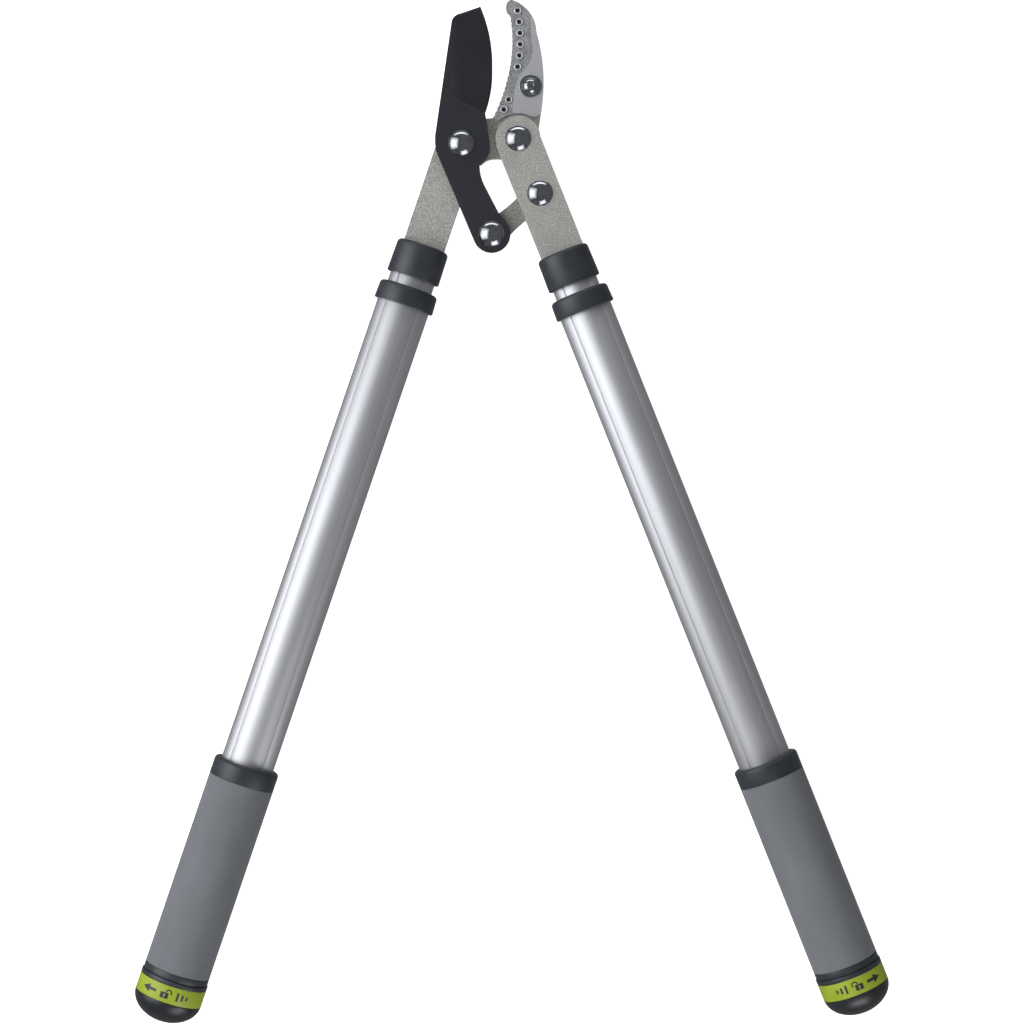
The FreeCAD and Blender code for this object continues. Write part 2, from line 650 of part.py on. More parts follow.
def make_lock(side):
    """End plug of the inner tube, the lock cam behind it and the rod that turns the cam."""
    end = "inner_start + inner_length"
    inside = section_pad(
        f"{side}EndPlug", side, f"{end} - tube_plug_depth", "tube_plug_depth",
        ("inner", "-inner_wall - fixed_gap"))
    flange = section_pad(
        f"{side}EndFlange", side, end, "tube_plug_flange", ("outer", "-outer_wall - slide_gap"))
    bore = cylinder(
        "rod_hole_radius", "tube_plug_depth + tube_plug_flange + 2 * overcut",
        along(side, f"{end} - tube_plug_depth - overcut"))
    node(f"{side}_tube_plug", cut(fuse(inside, flange), bore))
    cam_start = f"{end} + tube_plug_flange + slide_gap"
    cam = cylinder("cam_radius", "cam_length", along(side, cam_start) * at("0", "cam_offset", "0"))
    hexagon_bore = hexagon(
        "rod_width + 2 * rod_gap", "cam_length + 2 * overcut", along(side, f"{cam_start} - overcut"))
    node(f"{side}_lock_cam", cut(cam, hexagon_bore))
    rod_end = "grip_end + end_ring_length + knob_gap + knob_rim + hub_plug_length"
    node(f"{side}_lock_rod", hexagon("rod_width", f"{rod_end} - rod_start", along(side, "rod_start")))


def make_outer_tube(side):
    """Outer tube with the ring and guide at its mouth."""
    mouth = "ring_start + ring_lip"
    node(f"{side}_outer_tube", section_pad(
        f"{side}OuterTube", side, mouth, f"grip_end - ({mouth})", ("outer", "0"), ("outer", "-outer_wall")))
    ring = oval_body(
        f"{side}Ring", side, "ring_start", "ring_length", "ring_half_width", "ring_half_depth", "ring_round")
    throat = section_pad(
        f"{side}Throat", side, "ring_start - overcut", "ring_lip + 2 * overcut", ("inner", "slide_gap"))
    seat = section_pad(f"{side}RingSeat", side, mouth, "ring_length", ("outer", "fixed_gap"))
    node(f"{side}_tube_ring", cut(ring, throat, seat))
    node(f"{side}_guide_bush", section_pad(
        f"{side}Guide", side, mouth, "guide_length",
        ("outer", "-outer_wall - fixed_gap"), ("inner", "slide_gap")))


def make_grip(side):
    """Plastic top ring and soft sleeve on the outer tube."""
    sleeve_start = "grip_start + grip_ring_length"
    ring = oval_body(
        f"{side}GripRing", side, "grip_start", "grip_ring_length", "grip_radius", "grip_radius", "grip_round")
    bore = section_pad(
        f"{side}GripBore", side, "grip_start - overcut", "grip_end - grip_start + 2 * overcut",
        ("outer", "fixed_gap"))
    node(f"{side}_grip_ring", cut(ring, bore))
    sleeve = cylinder("grip_radius", f"grip_end - ({sleeve_start})", along(side, sleeve_start))
    node(f"{side}_grip_sleeve", cut(sleeve, bore))


def make_end_ring(side):
    """Ring that closes the grip and carries the twist knob's spigot."""
    plug = section_pad(
        f"{side}EndRingPlug", side, "grip_end - end_ring_plug", "end_ring_plug",
        ("outer", "-outer_wall - fixed_gap"))
    ring = cylinder("grip_radius", "end_ring_length", along(side, "grip_end"))
    bore = cylinder(
        "spigot_radius + running_fit", "end_ring_plug + end_ring_length + 2 * overcut",
        along(side, "grip_end - end_ring_plug - overcut"))
    node(f"{side}_end_ring", cut(fuse(plug, ring), bore))


def make_knob(side):
    """Twist knob: hub with its spigot and clip, domed cap and coloured band."""
    rim_start = "grip_end + end_ring_length + knob_gap"
    band_start = f"{rim_start} + knob_rim"
    spigot_start = f"{rim_start} - spigot_length"
    clip_start = f"{spigot_start} + clip_offset"
    skirt_bore = "knob_radius - band_thickness - cap_wall"
    groove_floor = "spigot_radius - clip_depth"
    rim = cylinder("knob_radius", "knob_rim", along(side, rim_start))
    spigot = cylinder("spigot_radius", "spigot_length", along(side, spigot_start))
    plug = cylinder(f"{skirt_bore} - fixed_gap", "hub_plug_length", along(side, band_start))
    socket = hexagon(
        "rod_width", "spigot_length + knob_rim + hub_plug_length + overcut",
        along(side, f"{spigot_start} - overcut"))
    around = cylinder("spigot_radius + overcut", "clip_thickness", along(side, clip_start))
    groove = cut(around, cylinder(groove_floor, "clip_thickness", along(side, clip_start)))
    node(f"{side}_knob_hub", cut(fuse(rim, spigot, plug), socket, groove))
    disc = cylinder(
        "clip_radius", "clip_thickness - 2 * face_gap", along(side, f"{clip_start} + face_gap"))
    eye = cylinder(groove_floor, "clip_thickness", along(side, clip_start))
    opening = block(
        "clip_opening", "clip_radius + overcut", "clip_thickness",
        along(side, clip_start) * at("-clip_opening / 2", "0", "0"))
    node(f"{side}_knob_clip", cut(disc, eye, opening))
    band = cylinder("knob_radius", "band_length", along(side, band_start))
    skirt = cylinder("knob_radius - band_thickness", "band_length", along(side, band_start))
    node(f"{side}_band", cut(band, skirt))
    dome_start = f"{band_start} + band_length"
    shell = half_ellipsoid("knob_radius", "cap_depth", along(side, dome_start))
    hollow = half_ellipsoid(skirt_bore, "cap_depth - cap_wall", along(side, dome_start))
    bore = cylinder(skirt_bore, "band_length", along(side, band_start))
    node(f"{side}_end_cap", cut(fuse(skirt, shell), bore, hollow))


def half_ellipsoid(radius, depth, place):
    thing = document.addObject("Part::Ellipsoid", "HalfEllipsoid")
    bind(thing, Radius1=depth, Radius2=radius, Radius3=radius)
    thing.Angle1 = 0
    thing.Placement = place
    return thing


# ---------------------------------------------------------------- build
make_left_arm()
make_right_arm()
make_blade()
make_hook()
make_link()
make_pivot_bolt("blade", "blade", BLADE_FRONT)
make_pivot_bolt("arm", "arm", ARM_FRONT)
make_link_rivets()
make_hook_screw()
for handle, tang_level in (("left", PLATE_BACK), ("right", BLADE_BACK)):
    make_head_end(handle, tang_level)
    make_lock(handle)
    make_outer_tube(handle)
    make_grip(handle)
    make_end_ring(handle)
    make_knob(handle)
document.recompute()

# The origin moves to the middle of the underside.
whole = Part.makeCompound([piece.Shape for piece in nodes.values()]).optimalBoundingBox(False, False)
origin = Vector(whole.Center.x, whole.Center.y, whole.ZMin)
for piece in nodes.values():
    piece.Placement = Placement(piece.Placement.Base - origin, piece.Placement.Rotation)
document.recompute()

for thing in document.Objects:
    if "Invalid" in thing.State or "Error" in thing.State:
        raise ValueError(f"{thing.Name} ({thing.Label}) did not build: {thing.State}")
os.makedirs("parts", exist_ok=True)
for label, piece in nodes.items():
    if piece.Shape.isNull() or not piece.Shape.isValid():
        raise ValueError(f"{label} has no valid shape")
    piece.Shape.exportStep(f"parts/{label}.step")
print(len(nodes), "pieces, size", whole.XLength, whole.YLength, whole.ZLength, "origin", origin)
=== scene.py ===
"""Bypass loppers with telescopic handles: the pieces, their finishes and a plain stage."""

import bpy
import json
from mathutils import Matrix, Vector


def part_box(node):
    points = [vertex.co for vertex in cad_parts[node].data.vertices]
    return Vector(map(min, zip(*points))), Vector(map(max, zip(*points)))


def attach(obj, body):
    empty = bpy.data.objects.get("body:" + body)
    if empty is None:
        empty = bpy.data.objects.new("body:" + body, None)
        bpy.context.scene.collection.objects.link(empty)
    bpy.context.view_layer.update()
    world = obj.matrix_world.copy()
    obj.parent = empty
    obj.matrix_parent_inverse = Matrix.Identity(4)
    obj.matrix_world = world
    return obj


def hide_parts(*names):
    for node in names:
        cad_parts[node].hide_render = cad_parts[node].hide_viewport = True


bl_info = {
    "name": "Bypass Loppers",
    "version": (1, 0, 0),
    "blender": (4, 5, 0),
    "location": "3D View > Sidebar > Loppers",
    "description": "Models the loppers piece by piece round their fixed frame",
    "category": "Object",
}

import json
import math

import bpy
from mathutils import Matrix, Vector

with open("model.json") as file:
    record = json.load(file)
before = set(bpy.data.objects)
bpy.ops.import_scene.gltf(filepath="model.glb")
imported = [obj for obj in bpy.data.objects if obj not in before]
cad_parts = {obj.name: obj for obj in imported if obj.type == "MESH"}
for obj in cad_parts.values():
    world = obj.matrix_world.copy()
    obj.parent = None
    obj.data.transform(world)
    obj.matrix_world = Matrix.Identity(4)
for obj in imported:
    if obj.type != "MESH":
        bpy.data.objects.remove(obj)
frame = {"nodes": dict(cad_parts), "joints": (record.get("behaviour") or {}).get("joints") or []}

UP = Vector((0, 0, 1))
SIDES = ("left", "right")
HANDLE_BASE = {"left": "head", "right": "right_arm"}


def joint(name):
    return next(j for j in frame["joints"] if j["name"] == name)


def handle_turn(side):
    """Turn of a handle: Z runs along it away from the head, Y is up."""
    along = Vector(joint(f"{side}_extension")["axis"]).normalized()
    return Matrix((UP.cross(along), UP, along)).transposed().to_4x4()


def handle_place(side):
    """Place of a handle: its turn, with the origin on its axis at the top of its collar."""
    turn = handle_turn(side)
    axis_point = turn.inverted() @ Vector(joint(f"{side}_twist_lock")["pos_m"])
    back = turn.inverted()
    top = min((back @ v.co).z for v in frame["nodes"][f"{side}_collar"].data.vertices)
    return turn @ Matrix.Translation((axis_point.x, axis_point.y, top))


PLACE = {side: handle_place(side) for side in SIDES}


def handle_box(side, node):
    """Lowest and highest corners of a node in its handle's own directions."""
    back = PLACE[side].inverted()
    points = [back @ v.co for v in frame["nodes"][f"{side}_{node}"].data.vertices]
    low = Vector([min(p[i] for p in points) for i in range(3)])
    high = Vector([max(p[i] for p in points) for i in range(3)])
    return low, high


BLADE_PIVOT = Vector(joint("blade_pivot")["pos_m"])
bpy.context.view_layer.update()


# ---------------------------------------------------------------- sizes and colours
def distance(label, note, value):
    return bpy.props.FloatProperty(
        name=label, description=note, default=value, min=0, precision=5, unit="LENGTH", subtype="DISTANCE")


def colour(label, note, value):
    return bpy.props.FloatVectorProperty(
        name=label, description=note, default=value, size=3, min=0, max=1, subtype="COLOR")


class LopperHeadSizes(bpy.types.PropertyGroup):
    """Edges and small features of the head."""

    arm_edge: distance("Arm edge", "Rounding along the pressed arms", 0.0018)
    link_edge: distance("Link edge", "Rounding along the link", 0.0007)
    blade_edge: distance("Blade edge", "Fine rounding of the blade's outline", 0.0003)
    grind_fall: distance("Grind fall", "How much thinner the ground face is at the edge", 0.0012)
    shoulder_width: distance("Shoulder width", "Slope between the hub and the ground face", 0.0006)
    edge_bevel: distance("Edge bevel", "Honed bevel of the cutting edge", 0.0013)
    hook_edge: distance("Hook edge", "Rounding of the cast hook", 0.0006)
    tooth_pitch: distance("Tooth pitch", "Spacing of the hook's teeth", 0.0034)
    tooth_radius: distance("Tooth radius", "Radius of the hollow between teeth", 0.0015)
    tooth_depth: distance("Tooth depth", "Depth of the hollow between teeth", 0.00055)
    dimple_rim: distance("Dimple rim", "Raised ring round each dimple of the hook", 0.0006)
    dimple_radius: distance("Dimple radius", "Dimples of the hook", 0.0017)
    boss_radius: distance("Boss radius", "Raised boss round the hook's screw", 0.0078)
    dome_height: distance("Dome height", "Domed heads of the pivots", 0.004)
    dome_rim: distance("Dome rim", "Rounded rim of the domed heads", 0.00035)


class LopperHandleSizes(bpy.types.PropertyGroup):
    """Edges and small features of the handles."""

    collar_round: distance("Collar round", "Shoulder of the collar", 0.0026)
    collar_lip: distance("Collar lip", "Fine edge at the collar's mouth", 0.0005)
    collar_flare: distance("Collar flare", "How much narrower the collar is at its shoulder", 0.0004)
    ring_round: distance("Ring round", "Shoulder of the outer tube's ring", 0.0024)
    grip_ring_round: distance("Grip ring round", "Shoulder of the grip's top ring", 0.0022)
    grip_edge: distance("Grip edge", "Rounded ends of the soft sleeve", 0.0005)
    crease: distance("Tube edge", "Rounding of the tubes' ends", 0.0002)
    groove_width: distance("Groove width", "Width of the grooves along the tubes", 0.0011)
    groove_depth: distance("Groove depth", "Depth of the grooves along the tubes", 0.0004)
    knob_edge: distance("Knob edge", "Fine edges of the twist knob", 0.0003)
    cap_wall: distance("Cap wall", "Wall of the domed cap", 0.0025)
    band_depth: distance("Band depth", "Thickness of the coloured band", 0.001)


class LopperColours(bpy.types.PropertyGroup):
    """Colours of the finishes."""

    paint: colour("Arm paint", "Hammered paint of the arms", (0.56, 0.555, 0.53))
    link: colour("Link paint", "Darker hammered paint of the link", (0.34, 0.335, 0.315))
    blade: colour("Blade coating", "Low-friction coating of the blade", (0.0135, 0.0148, 0.0215))
    hook: colour("Cast hook", "Satin plated casting", (0.45, 0.46, 0.48))
    chrome: colour("Chrome", "Polished pivot heads", (0.27, 0.28, 0.31))
    zinc: colour("Zinc", "Plated nuts and washers", (0.52, 0.53, 0.54))
    tube: colour("Tube", "Satin anodised aluminium", (0.57, 0.583, 0.615))
    plastic: colour("Plastic", "Moulded black plastic", (0.0265, 0.0315, 0.0405))
    grip: colour("Grip", "Soft grey sleeve", (0.168, 0.178, 0.197))
    band: colour("Band", "Coloured band", (0.345, 0.445, 0.025))
    print_ink: colour("Print", "Ink on the coloured band", (0.030, 0.022, 0.034))
    nylon: colour("Nylon", "Insert of the lock nuts", (0.60, 0.62, 0.64))


class LopperStageSizes(bpy.types.PropertyGroup):
    """Camera and light."""

    camera_height: distance("Camera height", "Camera above the floor", 1.75)
    focal_length: bpy.props.FloatProperty(
        name="Focal length", description="Lens in millimetres", default=94.9, min=1)
    floor_size: distance("Floor size", "Side of the pale floor", 24.0)
    world_light: bpy.props.FloatProperty(
        name="World light", description="Even light from all round", default=0.24, min=0)


# ---------------------------------------------------------------- modelling
def deselect():
    if bpy.context.mode != "OBJECT":
        bpy.ops.object.mode_set(mode="OBJECT")
    bpy.ops.object.select_all(action="DESELECT")


def activate(piece):
    deselect()
    piece.select_set(True)
    bpy.context.view_layer.objects.active = piece
    return piece


def select_part(piece, kind, test):
    """Stays in edit mode with the faces, edges or vertices selected that pass the test."""
    activate(piece)
    bpy.ops.object.mode_set(mode="EDIT")
    bpy.ops.mesh.select_mode(type=kind)
    bpy.ops.mesh.select_all(action="DESELECT")
    bpy.ops.object.mode_set(mode="OBJECT")
    mesh = piece.data
    count = 0
    if kind == "FACE":
        for face in mesh.polygons:
            face.select = test(face)
            count += face.select
    elif kind == "EDGE":
        for edge in mesh.edges:
            a, b = (mesh.vertices[i].co for i in edge.vertices)
            edge.select = test(a, b)
            count += edge.select
    else:
        for vertex in mesh.vertices:
            vertex.select = test(vertex.co)
            count += vertex.select
    if not count:
        raise ValueError(f"{piece.name}: nothing to select")
    bpy.ops.object.mode_set(mode="EDIT")


def leave_edit():
    bpy.ops.object.mode_set(mode="OBJECT")


def bevel_edges(piece, test, width, segments=3, profile=0.5):
    select_part(piece, "EDGE", test)
    bpy.ops.mesh.bevel(offset=width, offset_type="OFFSET", segments=segments, profile=profile, affect="EDGES")
    leave_edit()


def cut_across(piece, point, normal, clear=False):
    """Cuts a piece on a plane; with clear, what lies behind the plane goes and the cut is closed."""
    activate(piece)
    bpy.ops.object.mode_set(mode="EDIT")
    bpy.ops.mesh.select_all(action="SELECT")
    bpy.ops.mesh.bisect(plane_co=point, plane_no=normal, clear_inner=clear, use_fill=clear, threshold=1e-7)
    leave_edit()


def apply_modifier(piece, kind, **settings):
    activate(piece)
    modifier = piece.modifiers.new(kind, kind)
    for name, value in settings.items():
        setattr(modifier, name, value)
    bpy.ops.object.modifier_apply(modifier=modifier.name)


def round_outline(piece, width, segments=3, angle=40):
    """Rounds every sharp edge of a piece."""
    apply_modifier(
        piece, "BEVEL", width=width, segments=segments, limit_method="ANGLE",
        angle_limit=math.radians(angle), use_clamp_overlap=True, miter_outer="MITER_ARC")


def smooth(piece, angle=35):
    activate(piece)
    bpy.ops.object.shade_smooth_by_angle(angle=math.radians(angle))


def level_normals(piece, angle=35):
    """Smooth shading that leaves large flat faces flat."""
    smooth(piece, angle)
    apply_modifier(piece, "WEIGHTED_NORMAL", mode="FACE_AREA", weight=90, keep_sharp=True)


def outward(piece):
    activate(piece)
    bpy.ops.object.mode_set(mode="EDIT")
    bpy.ops.mesh.select_all(action="SELECT")
    bpy.ops.mesh.remove_doubles(threshold=1e-6)
    bpy.ops.mesh.normals_make_consistent(inside=False)
    leave_edit()


def copy_node(node, name, flat_angle=1.0):
    """A merged copy of a node, with the triangles of each flat face joined."""
    source = frame["nodes"][node]
    piece = bpy.data.objects.new(name, source.data.copy())
    bpy.context.scene.collection.objects.link(piece)
    piece.data.materials.clear()
    activate(piece)
    bpy.ops.object.mode_set(mode="EDIT")
    bpy.ops.mesh.select_all(action="SELECT")
    bpy.ops.mesh.customdata_custom_splitnormals_clear()
    bpy.ops.mesh.remove_doubles(threshold=1e-6)
    if flat_angle:
        bpy.ops.mesh.dissolve_limited(angle_limit=math.radians(flat_angle))
    leave_edit()
    return piece


def put(piece, matrix):
    """Moves a piece to its place and applies it, so that its object stays at the origin."""
    piece.matrix_world = matrix
    activate(piece)
    bpy.ops.object.transform_apply(location=True, rotation=True, scale=True)
    return piece


def join(pieces, name):
    deselect()
    for piece in pieces:
        piece.select_set(True)
    bpy.context.view_layer.objects.active = pieces[0]
    bpy.ops.object.join()
    pieces[0].name = name
    return pieces[0]


def duplicate(piece, name):
    twin = piece.copy()
    twin.data = piece.data.copy()
    twin.name = name
    bpy.context.scene.collection.objects.link(twin)
    return twin


def wrap_map(piece, side=None):
    """Writes the UV map: metres round the handle's axis, and metres along it."""
    back = PLACE[side].inverted() if side else Matrix.Identity(4)
    mesh = piece.data
    points = [back @ v.co for v in mesh.vertices]
    radius = max(math.hypot(p.x, p.y) for p in points)
    layer = mesh.uv_layers.get("Wrap") or mesh.uv_layers.new(name="Wrap")
    mesh.uv_layers.active = layer
    for face in mesh.polygons:
        middle = sum((points[i] for i in face.vertices), Vector()) / len(face.vertices)
        centre = math.atan2(middle.x, middle.y)
        for loop in face.loop_indices:
            p = points[mesh.loops[loop].vertex_index]
            angle = math.atan2(p.x, p.y)
            angle += round((centre - angle) / (2 * math.pi)) * 2 * math.pi
            layer.data[loop].uv = (angle * radius, p.z)


def finish_piece(piece, material, body, slot, *nodes):
    """Gives a finished piece its material and body, and hides what it stands for."""
    piece.data.materials.clear()
    piece.data.materials.append(material)
    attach(piece, body)
    if nodes:
        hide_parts(*nodes)
    deselect()
    return piece


def tube_blank(name, radii, low, high, vertices=128):
    """Closed cylinder or oval along Z, the start of the round mouldings."""
    deselect()
    bpy.ops.mesh.primitive_cylinder_add(
        vertices=vertices, radius=1, depth=high - low, location=(0, 0, (low + high) / 2))
    piece = bpy.context.object
    piece.name = name
    bpy.ops.object.transform_apply(location=True, rotation=True, scale=True)
    bpy.ops.object.mode_set(mode="EDIT")
    bpy.ops.mesh.select_all(action="SELECT")
    bpy.ops.transform.resize(value=(radii[0], radii[1], 1), center_override=(0, 0, 0))
    leave_edit()
    return piece


def open_bore(piece, wall):
    """Opens a bore right through a blank, leaving a wall."""
    select_part(piece, "FACE", lambda f: abs(f.normal.z) > 0.9)
    bpy.ops.mesh.inset(thickness=wall, use_individual=True)
    bpy.ops.mesh.bridge_edge_loops()
    leave_edit()


def at_level(level, reach, tolerance=2e-5):
    """Test for edges at one height along Z and at least so far out."""
    def test(a, b):
        return (abs(a.z - level) < tolerance and abs(b.z - level) < tolerance
                and min(math.hypot(a.x, a.y), math.hypot(b.x, b.y)) > reach)
    return test


# ---------------------------------------------------------------- finishes
class Wire:
    """One output of a node; arithmetic on it adds Math nodes."""

    def __init__(self, finish, socket):
        self.finish = finish
        self.socket = socket

    def math(self, operation, *others, clamp=False):
        values = {0: self}
        values.update(enumerate(others, start=1))
        return self.finish.add("ShaderNodeMath", {"operation": operation, "use_clamp": clamp}, values)

    def __add__(self, other):
        return self.math("ADD", other)

    __radd__ = __add__

    def __mul__(self, other):
        return self.math("MULTIPLY", other)

    __rmul__ = __mul__

    def __sub__(self, other):
        return self.math("SUBTRACT", other)

    def __rsub__(self, other):
        return self.finish.add("ShaderNodeMath", {"operation": "SUBTRACT"}, {0: other, 1: self})

    def __truediv__(self, other):
        return self.math("DIVIDE", other)

    def __neg__(self):
        return self * -1.0

    def __abs__(self):
        return self.math("ABSOLUTE")

    def larger(self, other):
        return self.math("MAXIMUM", other)

    def smaller(self, other):
        return self.math("MINIMUM", other)

    def fade(self, start, end):
        """0 at start, 1 at end, smooth between."""
        return self.finish.add(
            "ShaderNodeMapRange", {"interpolation_type": "SMOOTHSTEP"},
            {"Value": self, "From Min": start, "From Max": end})


class Finish:
    """A material being built: its nodes, and the shader at their end."""

    def __init__(self, name, **constants):
        self.material = bpy.data.materials.new(name)
        self.material.use_nodes = True
        self.tree = self.material.node_tree
        self.tree.nodes.clear()
        self.shader = self.tree.nodes.new("ShaderNodeBsdfPrincipled")
        output = self.tree.nodes.new("ShaderNodeOutputMaterial")
        self.tree.links.new(self.shader.outputs[0], output.inputs["Surface"])
        for label, value in constants.items():
            self.feed(self.shader.inputs[label.replace("_", " ").title().replace("Ior", "IOR")], value)

    def feed(self, socket, value):
        if isinstance(value, Wire):
            self.tree.links.new(value.socket, socket)
        elif socket.type == "RGBA" and len(value) == 3:
            socket.default_value = (*value, 1)
        else:
            socket.default_value = value

    def add(self, kind, settings=None, values=None, output=0):
        """Adds a node: its settings first, then the values or links of its sockets."""
        node = self.tree.nodes.new(kind)
        for name, value in (settings or {}).items():
            if name == "stops":
                for index, (position, tone) in enumerate(value):
                    if index < 2:
                        stop = node.color_ramp.elements[index]
                        stop.position = position
                    else:
                        stop = node.color_ramp.elements.new(position)
                    stop.color = (*tone, 1)
            else:
                setattr(node, name, value)
        for name, value in (values or {}).items():
            self.feed(node.inputs[name], value)
        sockets = [s for s in node.outputs if s.enabled]
        return Wire(self, node.outputs[output] if isinstance(output, str) else sockets[output])

    def place(self, **mapping):
        """Object coordinates in metres."""
        where = self.add("ShaderNodeTexCoord", output="Object")
        return self.add("ShaderNodeMapping", None, {"Vector": where, **mapping}) if mapping else where

    def wrapped(self, stretch=(1, 1, 1)):
        """Metres round and along a handle."""
        where = self.add("ShaderNodeUVMap", {"uv_map": "Wrap"})
        return self.add("ShaderNodeMapping", None, {"Vector": where, "Scale": stretch})

    def split(self, vector):
        node = self.tree.nodes.new("ShaderNodeSeparateXYZ")
        self.feed(node.inputs[0], vector)
        return [Wire(self, s) for s in node.outputs]

    def noise(self, where, scale, detail=3.0, roughness=0.55, distortion=0.0):
        return self.add("ShaderNodeTexNoise", None, {
            "Vector": where, "Scale": scale, "Detail": detail, "Roughness": roughness,
            "Distortion": distortion})

    def cells(self, where, scale, feature="F1"):
        return self.add("ShaderNodeTexVoronoi", {"feature": feature}, {"Vector": where, "Scale": scale})

    def blend(self, share, first, second):
        """First colour where the share is 0, second where it is 1."""
        node = self.tree.nodes.new("ShaderNodeMix")
        node.data_type = "RGBA"
        self.feed(node.inputs[0], share)
        self.feed(node.inputs[6], first)
        self.feed(node.inputs[7], second)
        return Wire(self, node.outputs[2])

    def bump(self, height, depth, strength=1.0, below=None):
        values = {"Height": height, "Distance": depth, "Strength": strength}
        if below is not None:
            values["Normal"] = below
        return self.add("ShaderNodeBump", None, values)

    def set(self, label, value):
        self.feed(self.shader.inputs[label], value)


def tint(base, factor):
    return tuple(min(1.0, c * factor) for c in base)


def paint_finish(name, base):
    """Hammered metallic paint: grains about a millimetre across over a slow mottle."""
    f = Finish(name, metallic=0.55, coat_roughness=0.12)
    where = f.place()
    grain = f.noise(where, 1350, detail=2.5, roughness=0.6)
    sparkle = f.cells(where, 1300)
    mottle = f.noise(where, 60, detail=2)
    share = (grain - 0.5) * 2.6 + 0.5 + (sparkle - 0.5) * 0.3 + (mottle - 0.5) * 0.4
    f.set("Base Color", f.blend(share.fade(0.0, 1.0), tint(base, 0.62), tint(base, 1.3)))
    f.set("Roughness", 0.30 + grain * 0.2)
    f.set("Coat Weight", 1.0)
    f.set("Normal", f.bump(grain + sparkle * 0.3, 0.0002, 0.5))
    return f.material


def blade_finish(colours):
    """Low-friction coating over ground steel, with fine marks across the ground face."""
    f = Finish("blade_coating", metallic=0.0, coat_roughness=0.3)
    where = f.place()
    marks = f.noise(f.place(Scale=(1, 18, 1)), 300, detail=4, roughness=0.65)
    film = f.noise(where, 45, detail=3)
    speck = f.noise(where, 2600, detail=2)
    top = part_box("blade")[1].z
    ground = f.split(where)[2].fade(top, top - 0.0002)
    tone = (film - 0.5) * 0.9 + (marks - 0.5) * 0.5 + 0.7 - ground * 0.35
    f.set("Base Color", f.blend(
        tone.fade(0.0, 1.0), tint(colours.blade, 0.6), tint(colours.blade, 1.25)))
    f.set("Roughness", 0.36 + film * 0.10 + speck * 0.08)
    f.set("Normal", f.bump(speck + marks * 0.6, 0.00003, 0.5))
    return f.material


def hook_finish(colours):
    """Plated casting: smooth where raised, pitted in the recess and over the teeth; the steep walls and the
    dimples get painted shade.
    """
    f = Finish("cast_hook", metallic=0.75)
    where = f.place()
    height = f.split(where)[2]
    facing = f.split(f.add("ShaderNodeNewGeometry", output="Normal"))[2]
    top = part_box("hook")[1].z
    recess = height.fade(top - 0.0002, top - 0.0007) * facing.fade(0.1, 0.4)
    # Painted shade: steep walls at and above the recess floor, such as the walls round the raised parts and the
    # flanks of the rims, are darkened.
    painted_wall_shade = facing.fade(0.85, 0.45) * height.fade(top - 0.0011, top - 0.0008)
    # Painted shade: the insides of the dimples, below the recess floor, are darkened.
    hollow = height.fade(top - 0.00085, top - 0.0011) * facing.fade(0.05, 0.2)
    pits = f.noise(where, 1100, detail=3, roughness=0.7)
    broad = f.noise(where, 160, detail=3)
    depth = pits.fade(0.35, 0.62)
    # The tone below takes off the painted shade of the steep walls and of the dimples.
    tone = (0.95 + (broad - 0.5) * 0.4 - recess * 0.62 - painted_wall_shade * 0.5 - hollow * 0.8
            + depth * (0.03 + recess * 0.25))
    f.set("Base Color", f.blend(
        tone.fade(0.0, 1.0), tint(colours.hook, 0.16), tint(colours.hook, 1.35)))
    f.set("Roughness", 0.36 + recess * 0.12 + pits * 0.12)
    f.set("Normal", f.bump(depth, 0.0003, 0.12 + recess * 0.5))
    return f.material


def polished_finish(name, base, roughness, scale=500):
    """Plated or polished metal with faint rubbing marks."""
    f = Finish(name, metallic=1.0, base_color=base)
    where = f.place()
    smear = f.noise(where, scale, detail=4, roughness=0.6, distortion=0.6)
    spots = f.noise(where, scale * 4, detail=2)
    f.set("Base Color", f.blend(smear.fade(0.3, 0.7), tint(base, 0.8), tint(base, 1.15)))
    f.set("Roughness", roughness + (smear - 0.5) * roughness * 0.8)
    f.set("Normal", f.bump(spots, 0.00001, 0.2))
    return f.material


def tube_finish(colours):
    """Drawn and anodised aluminium: fine lines along the tube over a satin surface."""
    f = Finish("anodised_tube", metallic=1.0)
    lines = f.noise(f.wrapped((1, 0.008, 1)), 2600, detail=3, roughness=0.6)
    bands = f.noise(f.wrapped((1, 0.02, 1)), 260, detail=2)
    cloud = f.noise(f.wrapped((1, 0.3, 1)), 35, detail=2)
    satin = f.noise(f.wrapped(), 4200, detail=1)
    share = (lines - 0.5) * 0.55 + (bands - 0.5) * 0.6 + (cloud - 0.5) * 0.5 + 0.5
    f.set("Base Color", f.blend(share.fade(0.0, 1.0), tint(colours.tube, 0.86), tint(colours.tube, 1.10)))
    f.set("Roughness", 0.47 + lines * 0.12 + cloud * 0.05)
    f.set("Normal", f.bump(lines * 0.5 + satin * 0.5, 0.00003, 0.35))
    return f.material


def plastic_finish(name, base, roughness=0.42):
    """Moulded plastic with a fine spark-eroded grain."""
    f = Finish(name, ior=1.5)
    where = f.place()
    grain = f.cells(where, 1700, "SMOOTH_F1")
    cloud = f.noise(where, 70, detail=3)
    f.set("Base Color", f.blend(cloud.fade(0.3, 0.7), tint(base, 0.85), tint(base, 1.2)))
    f.set("Roughness", roughness + (cloud - 0.5) * 0.14 + grain * 0.05)
    f.set("Normal", f.bump(grain, 0.00008, 0.22))
    return f.material


